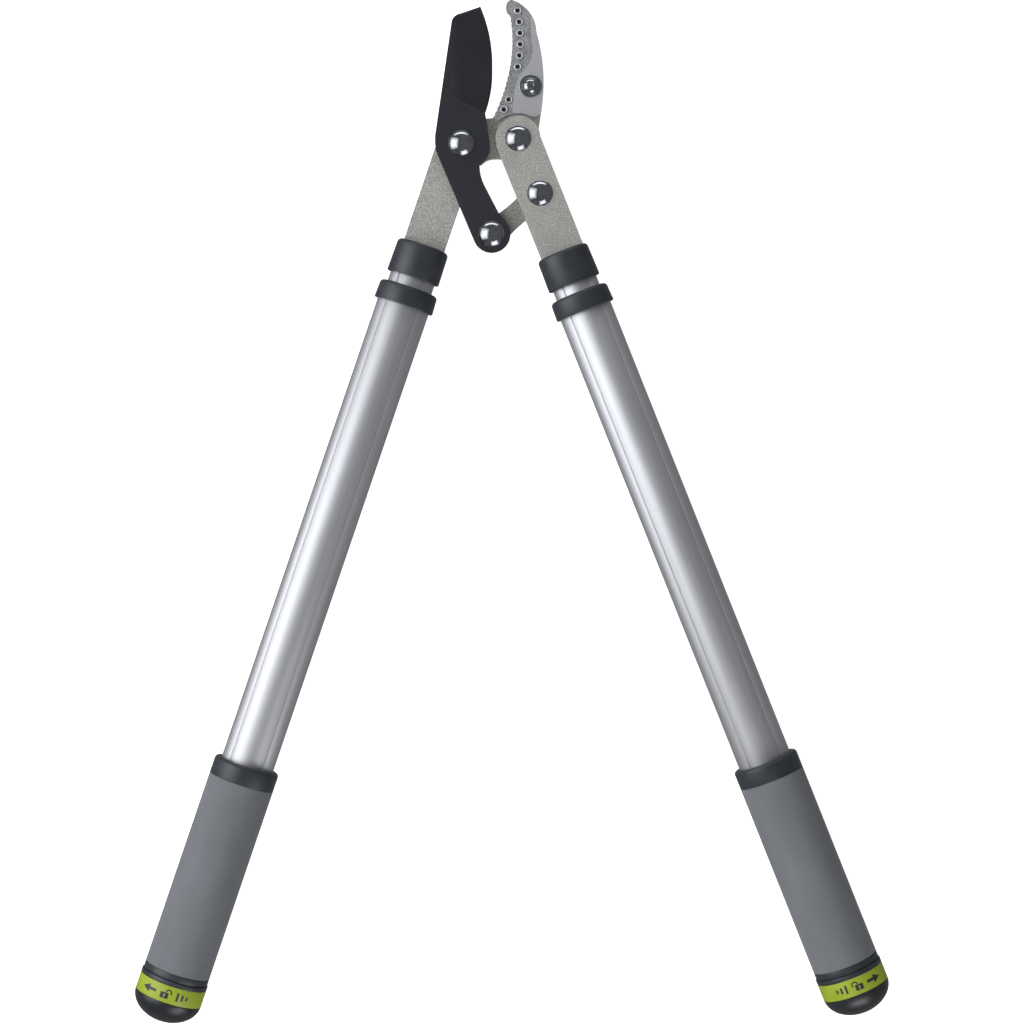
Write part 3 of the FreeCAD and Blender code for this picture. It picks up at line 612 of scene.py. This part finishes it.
def grip_finish(colours):
    """Soft matt sleeve: fine open grain, a little dust and rubbing."""
    f = Finish("grip_rubber", ior=1.45)
    fine = f.cells(f.wrapped(), 2300, "SMOOTH_F1")
    grain = f.noise(f.wrapped(), 3600, detail=2)
    cloud = f.noise(f.wrapped((1, 0.4, 1)), 55, detail=4)
    f.set("Base Color", f.blend(
        ((cloud - 0.5) * 0.9 + (grain - 0.5) * 0.6 + 0.5).fade(0.0, 1.0),
        tint(colours.grip, 0.84), tint(colours.grip, 1.16)))
    f.set("Roughness", 0.72 + cloud * 0.12)
    f.set("Sheen Weight", 0.15)
    f.set("Sheen Roughness", 0.5)
    f.set("Normal", f.bump(fine * 0.6 + grain * 0.4, 0.00012, 0.5))
    return f.material


def band_finish(colours, middle):
    """Coloured band printed with an arrow, an open lock and three bars."""
    f = Finish("green_band")
    around, along, _ = f.split(f.wrapped((1000, 1000, 1000)))
    across = along - middle * 1000

    def box(u, v, half_u, half_v):
        return (abs(around - u) - half_u).larger(abs(across - v) - half_v)

    def circle(u, v, radius):
        du, dv = around - u, across - v
        return (du * du + dv * dv).math("SQRT") - radius

    shaft = box(-10.0, 0.0, 2.6, 0.95)
    tip, base, rise = -18.2, -12.5, 2.75
    head = (abs(across) - (around - tip) * (rise / (base - tip))).larger(around - base)
    body = box(-1.6, 1.0, 2.7, 1.9)
    ring = (abs(circle(0.9, -1.2, 1.75)) - 0.42).larger(across + 1.1)
    legs = box(2.65, -0.7, 0.42, 0.6)
    keyhole = circle(-1.6, 0.7, 0.6).smaller(box(-1.6, 1.6, 0.25, 0.8))
    lock = body.larger(-keyhole).smaller(ring).smaller(legs)
    bars = box(7.0, 0, 0.7, 2.8).smaller(box(10.3, 0, 0.7, 2.0)).smaller(box(13.4, 0, 0.7, 1.2))
    ink = shaft.smaller(head).smaller(lock).smaller(bars).fade(0.08, -0.08)
    cloud = f.noise(f.wrapped(), 90, detail=3)
    weave = f.noise(f.wrapped(), 2500, detail=2)
    lime = f.blend(cloud.fade(0.3, 0.7), tint(colours.band, 0.92), tint(colours.band, 1.06))
    f.set("Base Color", f.blend(ink, lime, colours.print_ink))
    f.set("Roughness", 0.5 - ink * 0.08 + (cloud - 0.5) * 0.1)
    f.set("Normal", f.bump(weave * 0.3 + ink * 0.7, 0.00004, 0.4))
    return f.material


def floor_finish():
    f = Finish("pale_floor", roughness=0.9, emission_strength=0.9)
    paper = f.noise(f.place(), 20, detail=3)
    f.set("Base Color", f.blend(paper.fade(0.2, 0.8), (0.9, 0.9, 0.9), (0.92, 0.92, 0.92)))
    f.set("Emission Color", (1, 1, 1))
    return f.material


FINISHES = {}


def finish(name):
    """Each finish is built once, when first asked for."""
    if name not in FINISHES:
        colours = bpy.context.scene.lopper_colours
        builders = {
            "paint": lambda: paint_finish("hammered_paint", colours.paint),
            "link": lambda: paint_finish("hammered_link_paint", colours.link),
            "blade": lambda: blade_finish(colours),
            "hook": lambda: hook_finish(colours),
            "chrome": lambda: polished_finish("polished_chrome", colours.chrome, 0.09, 300),
            "zinc": lambda: polished_finish("plated_zinc", colours.zinc, 0.34),
            "tube": lambda: tube_finish(colours),
            "plastic": lambda: plastic_finish("black_plastic", colours.plastic),
            "cap": lambda: plastic_finish("cap_plastic", tint(colours.plastic, 0.45), 0.34),
            "inner": lambda: plastic_finish("inner_plastic", tint(colours.plastic, 1.6), 0.55),
            "grip": lambda: grip_finish(colours),
            "nylon": lambda: plastic_finish("nylon_insert", colours.nylon, 0.5),
            "floor": floor_finish,
        }
        FINISHES[name] = builders[name]()
    return FINISHES[name]


# ---------------------------------------------------------------- pieces of the head
class LOPPERS_OT_arms(bpy.types.Operator):
    """Model both pressed arms and the link"""

    bl_idname = "loppers.arms"
    bl_label = "Arms and Link"

    def execute(self, context):
        sizes = context.scene.lopper_head
        for side in SIDES:
            arm = copy_node(f"{side}_arm", f"{side}_arm_pressing")
            round_outline(arm, sizes.arm_edge, segments=4)
            level_normals(arm)
            finish_piece(arm, finish("paint"), HANDLE_BASE[side], "arm_paint", f"{side}_arm")
        link = copy_node("link", "link_bar")
        round_outline(link, sizes.link_edge)
        level_normals(link)
        finish_piece(link, finish("link"), "link", "link_paint", "link")
        return {"FINISHED"}


class LOPPERS_OT_blade(bpy.types.Operator):
    """Model the blade with its ground face, spine and cutting edge"""

    bl_idname = "loppers.blade"
    bl_label = "Blade"

    def execute(self, context):
        sizes = context.scene.lopper_head
        blade = copy_node("blade", "curved_blade")
        low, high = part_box("blade")
        back = low.z + 2e-5
        select_part(blade, "FACE", lambda f: f.normal.z > -0.99 or f.center.z > back)
        bpy.ops.mesh.delete(type="FACE")
        bpy.ops.mesh.select_all(action="SELECT")
        bpy.ops.mesh.extrude_region_move(TRANSFORM_OT_translate={"value": (0, 0, high.z - low.z)})
        leave_edit()
        outward(blade)

        # The ground face lies beyond the shoulder and inside the spine.
        corner = BLADE_PIVOT + Vector((-0.0040, 0.0284, 0))
        shoulder = (Vector((0.0150, 0.0179, 0)) - Vector((-0.0040, 0.0284, 0))).normalized()
        spine = (Vector((-0.0060, 0.0790, 0)) - Vector((-0.0040, 0.0284, 0))).normalized()
        beyond = UP.cross(shoulder)
        inside = spine.cross(UP)
        for shift in (0, sizes.shoulder_width):
            cut_across(blade, corner + beyond * shift, beyond)
        cut_across(blade, corner, inside)

        def ground(co, margin=0.0):
            return (co.z > high.z - 2e-5 and (co - corner).dot(beyond) > sizes.shoulder_width - 1e-6 + margin
                    and (co - corner).dot(inside) > -1e-6 + margin)

        edge_points = [v.co.copy() for v in blade.data.vertices if v.co.z < back]

        def on_outline(co):
            return any(abs(co.x - p.x) < 1e-6 and abs(co.y - p.y) < 1e-6 for p in edge_points)

        select_part(blade, "FACE", lambda f: f.normal.z > 0.99 and ground(f.center, 1e-4))
        bpy.ops.mesh.inset(thickness=sizes.edge_bevel)
        leave_edit()
        # The inset crosses itself where the edge meets the shoulder, so its two points there are joined.
        heel = BLADE_PIVOT + Vector((0.01465, 0.0196, 0))
        select_part(blade, "VERT", lambda co: co.z > back and math.hypot(
            co.x - heel.x, co.y - heel.y) < 0.0011 and not on_outline(co))
        bpy.ops.mesh.merge(type="CENTER")
        leave_edit()
        fall = sizes.grind_fall / 0.024

        def sink(vertex):
            run = (vertex.co - corner).dot(inside)
            past_shoulder = (vertex.co - corner).dot(beyond) > sizes.shoulder_width + 1e-5
            if past_shoulder and run > 0.012 and on_outline(vertex.co):
                return high.z - low.z - 0.0002
            return run * fall

        lowered = [(v, sink(v)) for v in blade.data.vertices if ground(v.co)]
        for vertex, depth in lowered:
            vertex.co.z -= depth
        outward(blade)
        round_outline(blade, sizes.blade_edge, segments=2, angle=30)
        smooth(blade, 35)
        for face in blade.data.polygons:
            if face.area > 1e-5 or abs(face.normal.z) > 0.995:
                face.use_smooth = False
        finish_piece(blade, finish("blade"), "blade", "blade_coating", "blade")
        return {"FINISHED"}


class LOPPERS_OT_hook(bpy.types.Operator):
    """Model the cast hook with its teeth and dimples"""

    bl_idname = "loppers.hook"
    bl_label = "Hook"

    edge = [(0.0203, 0.0170), (0.0271, 0.0338), (0.0313, 0.0510), (0.0325, 0.0680), (0.0310, 0.0834)]
    dimples = [
        (0.0361, 0.0852), (0.0371, 0.0780), (0.0376, 0.0709), (0.0377, 0.0637),
        (0.0372, 0.0565), (0.0361, 0.0493), (0.0304, 0.0283), (0.0273, 0.0219),
    ]

    def tooth_places(self, pitch):
        """Places along the inner edge, evenly spaced, with the direction out of the hook."""
        places, run = [], pitch / 2
        for start, end in zip(self.edge, self.edge[1:]):
            step = Vector((*end, 0)) - Vector((*start, 0))
            ahead = step.normalized()
            while run < step.length:
                places.append((Vector((*start, 0)) + ahead * run, UP.cross(ahead)))
                run += pitch
            run -= step.length
        return places

    def execute(self, context):
        sizes = context.scene.lopper_head
        hook = copy_node("hook", "cast_hook_body", 0)
        low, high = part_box("hook")
        pivot = Vector((BLADE_PIVOT.x, BLADE_PIVOT.y, 0))
        cutters = []
        for place, outwards in self.tooth_places(sizes.tooth_pitch):
            near = max(
                (v.co for v in hook.data.vertices
                 if abs((Vector((v.co.x, v.co.y, 0)) - pivot - place).dot(UP.cross(outwards))) < 0.002),
                key=lambda co: co.dot(outwards), default=None)
            reach = (Vector((near.x, near.y, 0)) - pivot - place).dot(outwards) if near else 0
            centre = pivot + place + outwards * (reach + sizes.tooth_radius - sizes.tooth_depth)
            deselect()
            bpy.ops.mesh.primitive_cylinder_add(
                vertices=20, radius=sizes.tooth_radius, depth=high.z - low.z + 0.004,
                location=(centre.x, centre.y, (low.z + high.z) / 2))
            cutters.append(bpy.context.object)
        comb = join(cutters, "tooth_comb")
        bpy.ops.object.transform_apply(location=True, rotation=True, scale=True)
        apply_modifier(hook, "BOOLEAN", object=comb, operation="DIFFERENCE", solver="EXACT")
        bpy.data.objects.remove(comb)
        screw_low, screw_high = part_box("hook_screw")
        floor = high.z - 0.0008
        deselect()
        bpy.ops.mesh.primitive_cylinder_add(
            vertices=72, radius=sizes.boss_radius, depth=high.z - floor + 0.0006,
            location=((screw_low.x + screw_high.x) / 2 - 0.0016, (screw_low.y + screw_high.y) / 2,
                      (floor - 0.0006 + high.z) / 2))
        boss = bpy.context.object
        bpy.ops.object.transform_apply(location=True, rotation=True, scale=True)
        apply_modifier(hook, "BOOLEAN", object=boss, operation="UNION", solver="EXACT")
        bpy.data.objects.remove(boss)
        punches = []
        for x, y in self.dimples:
            deselect()
            bpy.ops.mesh.primitive_uv_sphere_add(
                segments=32, ring_count=16, radius=sizes.dimple_radius * 0.9,
                location=(pivot.x + x, pivot.y + y, floor + sizes.dimple_radius * 0.35))
            punches.append(bpy.context.object)
        punch = join(punches, "dimple_punch")
        bpy.ops.object.transform_apply(location=True, rotation=True, scale=True)
        apply_modifier(hook, "BOOLEAN", object=punch, operation="DIFFERENCE", solver="EXACT")
        bpy.data.objects.remove(punch)
        outward(hook)
        bpy.ops.object.mode_set(mode="EDIT")
        bpy.ops.mesh.select_all(action="SELECT")
        bpy.ops.mesh.dissolve_limited(angle_limit=math.radians(1))
        leave_edit()
        round_outline(hook, sizes.hook_edge, segments=3, angle=62)
        rims = [hook]
        for x, y in self.dimples:
            deselect()
            bpy.ops.mesh.primitive_torus_add(
                major_radius=sizes.dimple_radius + sizes.dimple_rim * 0.4, minor_radius=sizes.dimple_rim,
                major_segments=40, minor_segments=12,
                location=(pivot.x + x, pivot.y + y, floor + 0.0001))
            rims.append(bpy.context.object)
        hook = join(rims, "cast_hook_body")
        level_normals(hook, 40)
        finish_piece(hook, finish("hook"), "head", "cast_hook", "hook")
        return {"FINISHED"}


def dome_pin(name, node, radius, height, rim, shank, peen=None):
    """Domed head on a shank, in the place of a bolt or rivet; a peened end is optional."""
    low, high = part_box(node)
    x, y = (low.x + high.x) / 2, (low.y + high.y) / 2
    seat = high.z - height
    ball = (radius * radius + height * height) / (2 * height)
    deselect()
    bpy.ops.mesh.primitive_uv_sphere_add(
        segments=96, ring_count=96, radius=ball, location=(x, y, high.z - ball))
    pin = bpy.context.object
    pin.name = name
    bpy.ops.object.transform_apply(location=True, rotation=True, scale=True)
    cut_across(pin, (x, y, seat), UP, clear=True)
    select_part(pin, "FACE", lambda f: f.normal.z < -0.9 and abs(f.center.z - seat) < 1e-5)
    bpy.ops.mesh.inset(thickness=radius - shank)
    end = low.z + (peen[1] if peen else 0)
    bpy.ops.mesh.extrude_region_move(TRANSFORM_OT_translate={"value": (0, 0, end - seat)})
    if peen:
        bpy.ops.mesh.extrude_region_move(TRANSFORM_OT_translate={"value": (0, 0, 0)})
        grow = peen[0] / shank
        bpy.ops.transform.resize(value=(grow, grow, 1), center_override=(x, y, end))
        bpy.ops.mesh.extrude_region_move(TRANSFORM_OT_translate={"value": (0, 0, -peen[1])})
    leave_edit()

    def on_rim(a, b):
        return all(abs(p.z - seat) < 1e-5 and math.hypot(p.x - x, p.y - y) > radius - 1e-4 for p in (a, b))

    def on_end(a, b):
        return all(abs(p.z - low.z) < 1e-5 for p in (a, b))

    bevel_edges(pin, on_rim, rim)
    bevel_edges(pin, on_end, rim)
    outward(pin)
    smooth(pin, 40)
    return pin


class LOPPERS_OT_pivots(bpy.types.Operator):
    """Model the domed bolts and rivets, and the lock nuts behind them"""

    bl_idname = "loppers.pivots"
    bl_label = "Pivots"

    def execute(self, context):
        sizes = context.scene.lopper_head
        pins = [
            ("blade_bolt", 0.004, "head", None), ("arm_bolt", 0.004, "head", None),
            ("tail_rivet", 0.0035, "blade", (0.005, 0.0007)), ("arm_rivet", 0.0035, "right_arm", None),
        ]
        for node, shank, body, peen in pins:
            low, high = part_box(node)
            pin = dome_pin(
                f"{node}_domed", node, (high.x - low.x) / 2, sizes.dome_height, sizes.dome_rim, shank, peen)
            finish_piece(pin, finish("chrome"), body, "chrome", node)
        for pivot in ("blade", "arm"):
            low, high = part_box(f"{pivot}_nut")
            x, y = (low.x + high.x) / 2, (low.y + high.y) / 2
            nut = copy_node(f"{pivot}_nut", f"{pivot}_lock_nut")
            round_outline(nut, 0.0005, segments=3, angle=50)
            smooth(nut, 30)
            finish_piece(nut, finish("zinc"), "head", "zinc_steel", f"{pivot}_nut")
            deselect()
            bpy.ops.mesh.primitive_torus_add(
                major_radius=0.0046, minor_radius=0.0005, major_segments=64, minor_segments=12,
                location=(x, y, low.z + 0.0005))
            insert = bpy.context.object
            insert.name = f"{pivot}_nut_insert"
            bpy.ops.object.transform_apply(location=True, rotation=True, scale=True)
            finish_piece(insert, finish("nylon"), "head", "inner_plastic")
        return {"FINISHED"}


class LOPPERS_OT_hook_screw(bpy.types.Operator):
    """Model the screw that holds the hook, with its washers and nut"""

    bl_idname = "loppers.hook_screw"
    bl_label = "Hook Screw"

    def execute(self, context):
        for node, name, width, coat, slot in (
            ("hook_screw", "hook_button_screw", 0.00025, "chrome", "chrome"),
            ("hook_screw_washers", "hook_screw_washer_pair", 0.0003, "chrome", "zinc_steel"),
            ("hook_screw_nut", "hook_screw_hex_nut", 0.0005, "zinc", "zinc_steel"),
        ):
            piece = copy_node(node, name, 0.3)
            round_outline(piece, width, segments=3, angle=50)
            smooth(piece, 35)
            finish_piece(piece, finish(coat), "head", slot, node)
        return {"FINISHED"}


# ---------------------------------------------------------------- pieces of the handles
class LOPPERS_OT_collars(bpy.types.Operator):
    """Model the collars below the arms and the rings at the mouths of the outer tubes"""

    bl_idname = "loppers.collars"
    bl_label = "Collars and Rings"

    def collar(self, side, sizes):
        low, high = handle_box(side, "collar")
        name = f"{side}_collar_moulding"
        collar = tube_blank(name, (high.x, high.y), low.z, high.z)
        select_part(collar, "FACE", lambda f: f.normal.z < -0.9)
        narrow = 1 - sizes.collar_flare / high.x
        bpy.ops.transform.resize(value=(narrow, narrow, 1), center_override=(0, 0, low.z))
        leave_edit()
        select_part(collar, "FACE", lambda f: f.normal.z > 0.9)
        bpy.ops.mesh.inset(thickness=0.0021)
        bpy.ops.mesh.extrude_region_move(TRANSFORM_OT_translate={"value": (0, 0, -(high.z - low.z) + 0.005)})
        leave_edit()
        bevel_edges(collar, at_level(low.z, 0.004), sizes.collar_round, segments=6)
        bevel_edges(collar, at_level(high.z, 0.012), sizes.collar_lip, segments=2)
        return collar

    def ring(self, side, sizes):
        low, high = handle_box(side, "tube_ring")
        ring = tube_blank(f"{side}_mouth_ring", (high.x, high.y), low.z, high.z)
        select_part(ring, "FACE", lambda f: f.normal.z < -0.9)
        bpy.ops.transform.resize(value=(0.975, 0.975, 1), center_override=(0, 0, low.z))
        leave_edit()
        bore = handle_box(side, "inner_tube")[1]
        open_bore(ring, min(high.x * 0.975 - bore.x, high.y * 0.975 - bore.y) - 0.0004)
        bevel_edges(ring, at_level(low.z, high.y * 0.95), sizes.ring_round, segments=5)
        bevel_edges(ring, at_level(high.z, high.y * 0.97), sizes.collar_lip, segments=2)
        return ring

    def execute(self, context):
        sizes = context.scene.lopper_handle
        for side in SIDES:
            collar = self.collar(side, sizes)
            ring = self.ring(side, sizes)
            for piece, body, node in (
                (collar, HANDLE_BASE[side], f"{side}_collar"), (ring, f"{side}_handle", f"{side}_tube_ring"),
            ):
                outward(piece)
                put(piece, PLACE[side])
                smooth(piece, 35)
                finish_piece(piece, finish("plastic"), body, "black_plastic", node)
        return {"FINISHED"}


class LOPPERS_OT_tubes(bpy.types.Operator):
    """Model the inner and outer tubes with fine grooves pressed along their creases"""

    bl_idname = "loppers.tubes"
    bl_label = "Tubes"

    # Half the distance between the creases, across and up from the tube's axis.
    creases = {"inner": (0.00838, 0.00927), "outer": (0.01059, 0.01041)}

    def press_creases(self, tube, side, kind, sizes):
        """Presses a fine groove into each of the four creases along a tube."""
        x, y = self.creases[kind]
        back = PLACE[side].inverted()

        def near(co, reach):
            p = back @ co
            return math.hypot(abs(p.x) - x, abs(p.y) - y) < reach

        select_part(tube, "EDGE", lambda a, b: near(a, 1e-4) and near(b, 1e-4) and (a - b).length > 0.002)
        bpy.ops.mesh.bevel(offset=sizes.groove_width / 2, offset_type="OFFSET", segments=2, affect="EDGES")
        leave_edit()
        turn = PLACE[side].to_3x3()
        for vertex in tube.data.vertices:
            if near(vertex.co, 1.5e-4):
                p = back @ vertex.co
                vertex.co -= turn @ Vector((p.x, p.y, 0)).normalized() * sizes.groove_depth

    def execute(self, context):
        sizes = context.scene.lopper_handle
        for side in SIDES:
            for kind, body in (("inner", HANDLE_BASE[side]), ("outer", f"{side}_handle")):
                tube = copy_node(f"{side}_{kind}_tube", f"{side}_{kind}_tube_drawn", 0.5)
                self.press_creases(tube, side, kind, sizes)
                round_outline(tube, sizes.crease, segments=2, angle=60)
                wrap_map(tube, side)
                smooth(tube, 24)
                finish_piece(tube, finish("tube"), body, "anodised_tube", f"{side}_{kind}_tube")
        return {"FINISHED"}


class LOPPERS_OT_grips(bpy.types.Operator):
    """Model the soft sleeves and the plastic rings at their ends"""

    bl_idname = "loppers.grips"
    bl_label = "Grips"

    def execute(self, context):
        sizes = context.scene.lopper_handle
        for side in SIDES:
            low, high = handle_box(side, "grip_ring")
            tube = handle_box(side, "outer_tube")[1]
            wall = high.x - tube.x - 0.0001
            ring = tube_blank(f"{side}_grip_top_ring", (high.x, high.y), low.z, high.z)
            open_bore(ring, wall)
            bevel_edges(ring, at_level(low.z, high.y * 0.95), sizes.grip_ring_round, segments=6)
            bevel_edges(ring, at_level(high.z, high.y * 0.95), 0.0003, segments=2)
            low, high = handle_box(side, "grip_sleeve")
            sleeve = tube_blank(f"{side}_soft_sleeve", (high.x, high.y), low.z, high.z)
            open_bore(sleeve, wall)
            bevel_edges(sleeve, at_level(low.z, high.y * 0.95), sizes.grip_edge)
            bevel_edges(sleeve, at_level(high.z, high.y * 0.95), sizes.grip_edge)
            for piece, coat, slot, node in (
                (ring, "plastic", "black_plastic", "grip_ring"), (sleeve, "grip", "grip_rubber", "grip_sleeve"),
            ):
                outward(piece)
                wrap_map(piece)
                put(piece, PLACE[side])
                smooth(piece, 35)
                finish_piece(piece, finish(coat), f"{side}_handle", slot, f"{side}_{node}")
            end = copy_node(f"{side}_end_ring", f"{side}_grip_end_ring")
            round_outline(end, sizes.knob_edge, segments=2, angle=50)
            smooth(end)
            finish_piece(end, finish("plastic"), f"{side}_handle", "black_plastic", f"{side}_end_ring")
        return {"FINISHED"}


class LOPPERS_OT_knobs(bpy.types.Operator):
    """Model the twist knobs: hub, domed cap and printed band"""

    bl_idname = "loppers.knobs"
    bl_label = "Twist Knobs"

    def cap(self, side, sizes):
        low, high = handle_box(side, "end_cap")
        band_low, band_high = handle_box(side, "band")
        radius, depth = high.x, high.z - band_high.z
        deselect()
        bpy.ops.mesh.primitive_uv_sphere_add(segments=128, ring_count=96, radius=1, location=(0, 0, 0))
        cap = bpy.context.object
        cap.name = f"{side}_domed_cap"
        bpy.ops.object.mode_set(mode="EDIT")
        bpy.ops.mesh.select_all(action="SELECT")
        bpy.ops.transform.resize(value=(radius, radius, depth), center_override=(0, 0, 0))
        bpy.ops.transform.translate(value=(0, 0, band_high.z))
        leave_edit()
        cut_across(cap, (0, 0, band_high.z), UP, clear=True)
        select_part(cap, "FACE", lambda f: f.normal.z < -0.9)
        bpy.ops.mesh.inset(thickness=sizes.band_depth)
        bpy.ops.mesh.extrude_region_move(
            TRANSFORM_OT_translate={"value": (0, 0, band_low.z - band_high.z)})
        bpy.ops.mesh.inset(thickness=sizes.cap_wall)
        bpy.ops.mesh.extrude_region_move(
            TRANSFORM_OT_translate={"value": (0, 0, band_high.z - band_low.z)})
        leave_edit()
        bevel_edges(cap, at_level(band_high.z, radius - 2e-4), sizes.knob_edge, segments=3)
        return cap

    def execute(self, context):
        sizes = context.scene.lopper_handle
        colours = context.scene.lopper_colours
        band_coat = None
        for side in SIDES:
            hub = copy_node(f"{side}_knob_hub", f"{side}_knob_core")
            round_outline(hub, sizes.knob_edge, segments=2, angle=50)
            smooth(hub)
            finish_piece(hub, finish("plastic"), f"{side}_knob", "black_plastic", f"{side}_knob_hub")
            cap = self.cap(side, sizes)
            low, high = handle_box(side, "band")
            band = tube_blank(f"{side}_printed_band", (high.x, high.y), low.z, high.z)
            open_bore(band, sizes.band_depth)
            bevel_edges(band, at_level(low.z, high.y * 0.98), 0.0002, segments=2)
            bevel_edges(band, at_level(high.z, high.y * 0.98), 0.0002, segments=2)
            band_coat = band_coat or band_finish(colours, (low.z + high.z) / 2)
            for piece, coat, slot, node in (
                (cap, finish("cap"), "black_plastic", "end_cap"), (band, band_coat, "green_band", "band"),
            ):
                outward(piece)
                wrap_map(piece)
                if side == "right":
                    for loop in piece.data.uv_layers["Wrap"].data:
                        loop.uv.x = -loop.uv.x
                put(piece, PLACE[side])
                smooth(piece, 35)
                finish_piece(piece, coat, f"{side}_knob", slot, f"{side}_{node}")
        return {"FINISHED"}


class LOPPERS_OT_inner_parts(bpy.types.Operator):
    """Finish the parts of the frame that keep their own shape"""

    bl_idname = "loppers.inner_parts"
    bl_label = "Inner Parts"

    def execute(self, context):
        coats = {
            "zinc": ["blade_spacer", "blade_washer", "arm_spacer", "arm_washer"]
            + [f"{side}_{node}" for side in SIDES for node in ("tang_pins", "lock_rod", "knob_clip")],
            "inner": [
                f"{side}_{node}" for side in SIDES
                for node in ("tang_plug", "tube_plug", "guide_bush", "lock_cam")],
        }
        for coat, nodes in coats.items():
            for node in nodes:
                frame["nodes"][node].data.materials.clear()
                frame["nodes"][node].data.materials.append(finish(coat))
        return {"FINISHED"}


# ---------------------------------------------------------------- stage
def softbox(name, centre, target, width, height, radiance, fade=0.25):
    """Glowing panel that fades towards its rim; it isn't seen directly."""
    f = Finish(f"{name}_glow", base_color=(0, 0, 0), roughness=1.0)
    across, up, _ = f.split(f.add("ShaderNodeUVMap", {"uv_map": "UVMap"}))
    rim = (0.5 - abs(across - 0.5)).smaller(0.5 - abs(up - 0.5)).fade(0.0, fade * 0.5)
    f.set("Emission Color", f.blend(rim, (0, 0, 0), (1, 1, 1)))
    f.set("Emission Strength", radiance)
    deselect()
    bpy.ops.mesh.primitive_plane_add(size=1)
    panel = bpy.context.object
    panel.name = name
    turn = (Vector(target) - Vector(centre)).to_track_quat("Z", "Y").to_matrix().to_4x4()
    put(panel, Matrix.Translation(centre) @ turn @ Matrix.Diagonal((width, height, 1, 1)))
    panel.data.materials.append(f.material)
    panel.visible_camera = False
    panel.visible_shadow = False
    return panel


class LOPPERS_OT_stage(bpy.types.Operator):
    """Set the floor, the soft lights and the camera"""

    bl_idname = "loppers.stage"
    bl_label = "Stage"

    def execute(self, context):
        sizes = context.scene.lopper_stage
        scene = context.scene
        deselect()
        bpy.ops.mesh.primitive_plane_add(size=sizes.floor_size, location=(0, 0, -0.0002))
        floor = bpy.context.object
        floor.name = "pale_floor"
        bpy.ops.object.transform_apply(location=True, rotation=True, scale=True)
        floor.data.materials.append(finish("floor"))
        deselect()
        bpy.ops.mesh.primitive_uv_sphere_add(segments=64, ring_count=32, radius=sizes.floor_size * 0.45)
        backdrop = bpy.context.object
        backdrop.name = "pale_backdrop"
        backdrop.data.materials.append(finish("floor"))
        smooth(backdrop, 60)
        for surround in (floor, backdrop):
            surround.visible_glossy = False
            surround.visible_diffuse = False
        backdrop.visible_shadow = False

        world = bpy.data.worlds.new("Studio")
        world.use_nodes = True
        background = world.node_tree.nodes["Background"]
        background.inputs["Color"].default_value = (1, 1, 1, 1)
        background.inputs["Strength"].default_value = sizes.world_light
        scene.world = world
        softbox("left_softbox", (-1.5, 0.25, 1.15), (0, 0.1, 0), 3.4, 2.9, 4.6, 1.0)
        softbox("back_strip", (-0.1, 1.9, 0.5), (0, 0.1, 0), 3.4, 0.6, 4.2, 0.8)
        softbox("lower_softbox", (0.52, -1.45, 0.72), (0, 0, 0), 1.9, 1.5, 4.6, 1.0)

        camera = bpy.data.cameras.new("camera")
        camera.sensor_width = 36
        camera.lens = sizes.focal_length
        viewer = bpy.data.objects.new("camera", camera)
        scene.collection.objects.link(viewer)
        viewer.location = (0.0001, -0.0006, sizes.camera_height)
        scene.camera = viewer
        scene.view_settings.view_transform = "Standard"
        return {"FINISHED"}


# ---------------------------------------------------------------- add-on
STEPS = (
    LOPPERS_OT_arms, LOPPERS_OT_blade, LOPPERS_OT_hook, LOPPERS_OT_pivots, LOPPERS_OT_hook_screw,
    LOPPERS_OT_collars, LOPPERS_OT_tubes, LOPPERS_OT_grips, LOPPERS_OT_knobs, LOPPERS_OT_inner_parts,
    LOPPERS_OT_stage,
)
GROUPS = {
    "lopper_head": LopperHeadSizes, "lopper_handle": LopperHandleSizes,
    "lopper_colours": LopperColours, "lopper_stage": LopperStageSizes,
}


class LOPPERS_PT_panel(bpy.types.Panel):
    """Sizes, colours and steps of the loppers"""

    bl_idname = "LOPPERS_PT_panel"
    bl_label = "Bypass Loppers"
    bl_space_type = "VIEW_3D"
    bl_region_type = "UI"
    bl_category = "Loppers"

    def draw(self, context):
        for step in STEPS:
            self.layout.operator(step.bl_idname)
        for name, group in GROUPS.items():
            box = self.layout.box()
            for field in group.__annotations__:
                box.prop(getattr(context.scene, name), field)


def register():
    for group in GROUPS.values():
        bpy.utils.register_class(group)
    for name, group in GROUPS.items():
        setattr(bpy.types.Scene, name, bpy.props.PointerProperty(type=group))
    for step in STEPS:
        bpy.utils.register_class(step)
    bpy.utils.register_class(LOPPERS_PT_panel)


def unregister():
    bpy.utils.unregister_class(LOPPERS_PT_panel)
    for step in reversed(STEPS):
        bpy.utils.unregister_class(step)
    for name in GROUPS:
        delattr(bpy.types.Scene, name)
    for group in GROUPS.values():
        bpy.utils.unregister_class(group)


def main():
    register()
    for step in STEPS:
        area, action = step.bl_idname.split(".")
        getattr(getattr(bpy.ops, area), action)()


if __name__ == "__main__":
    main()
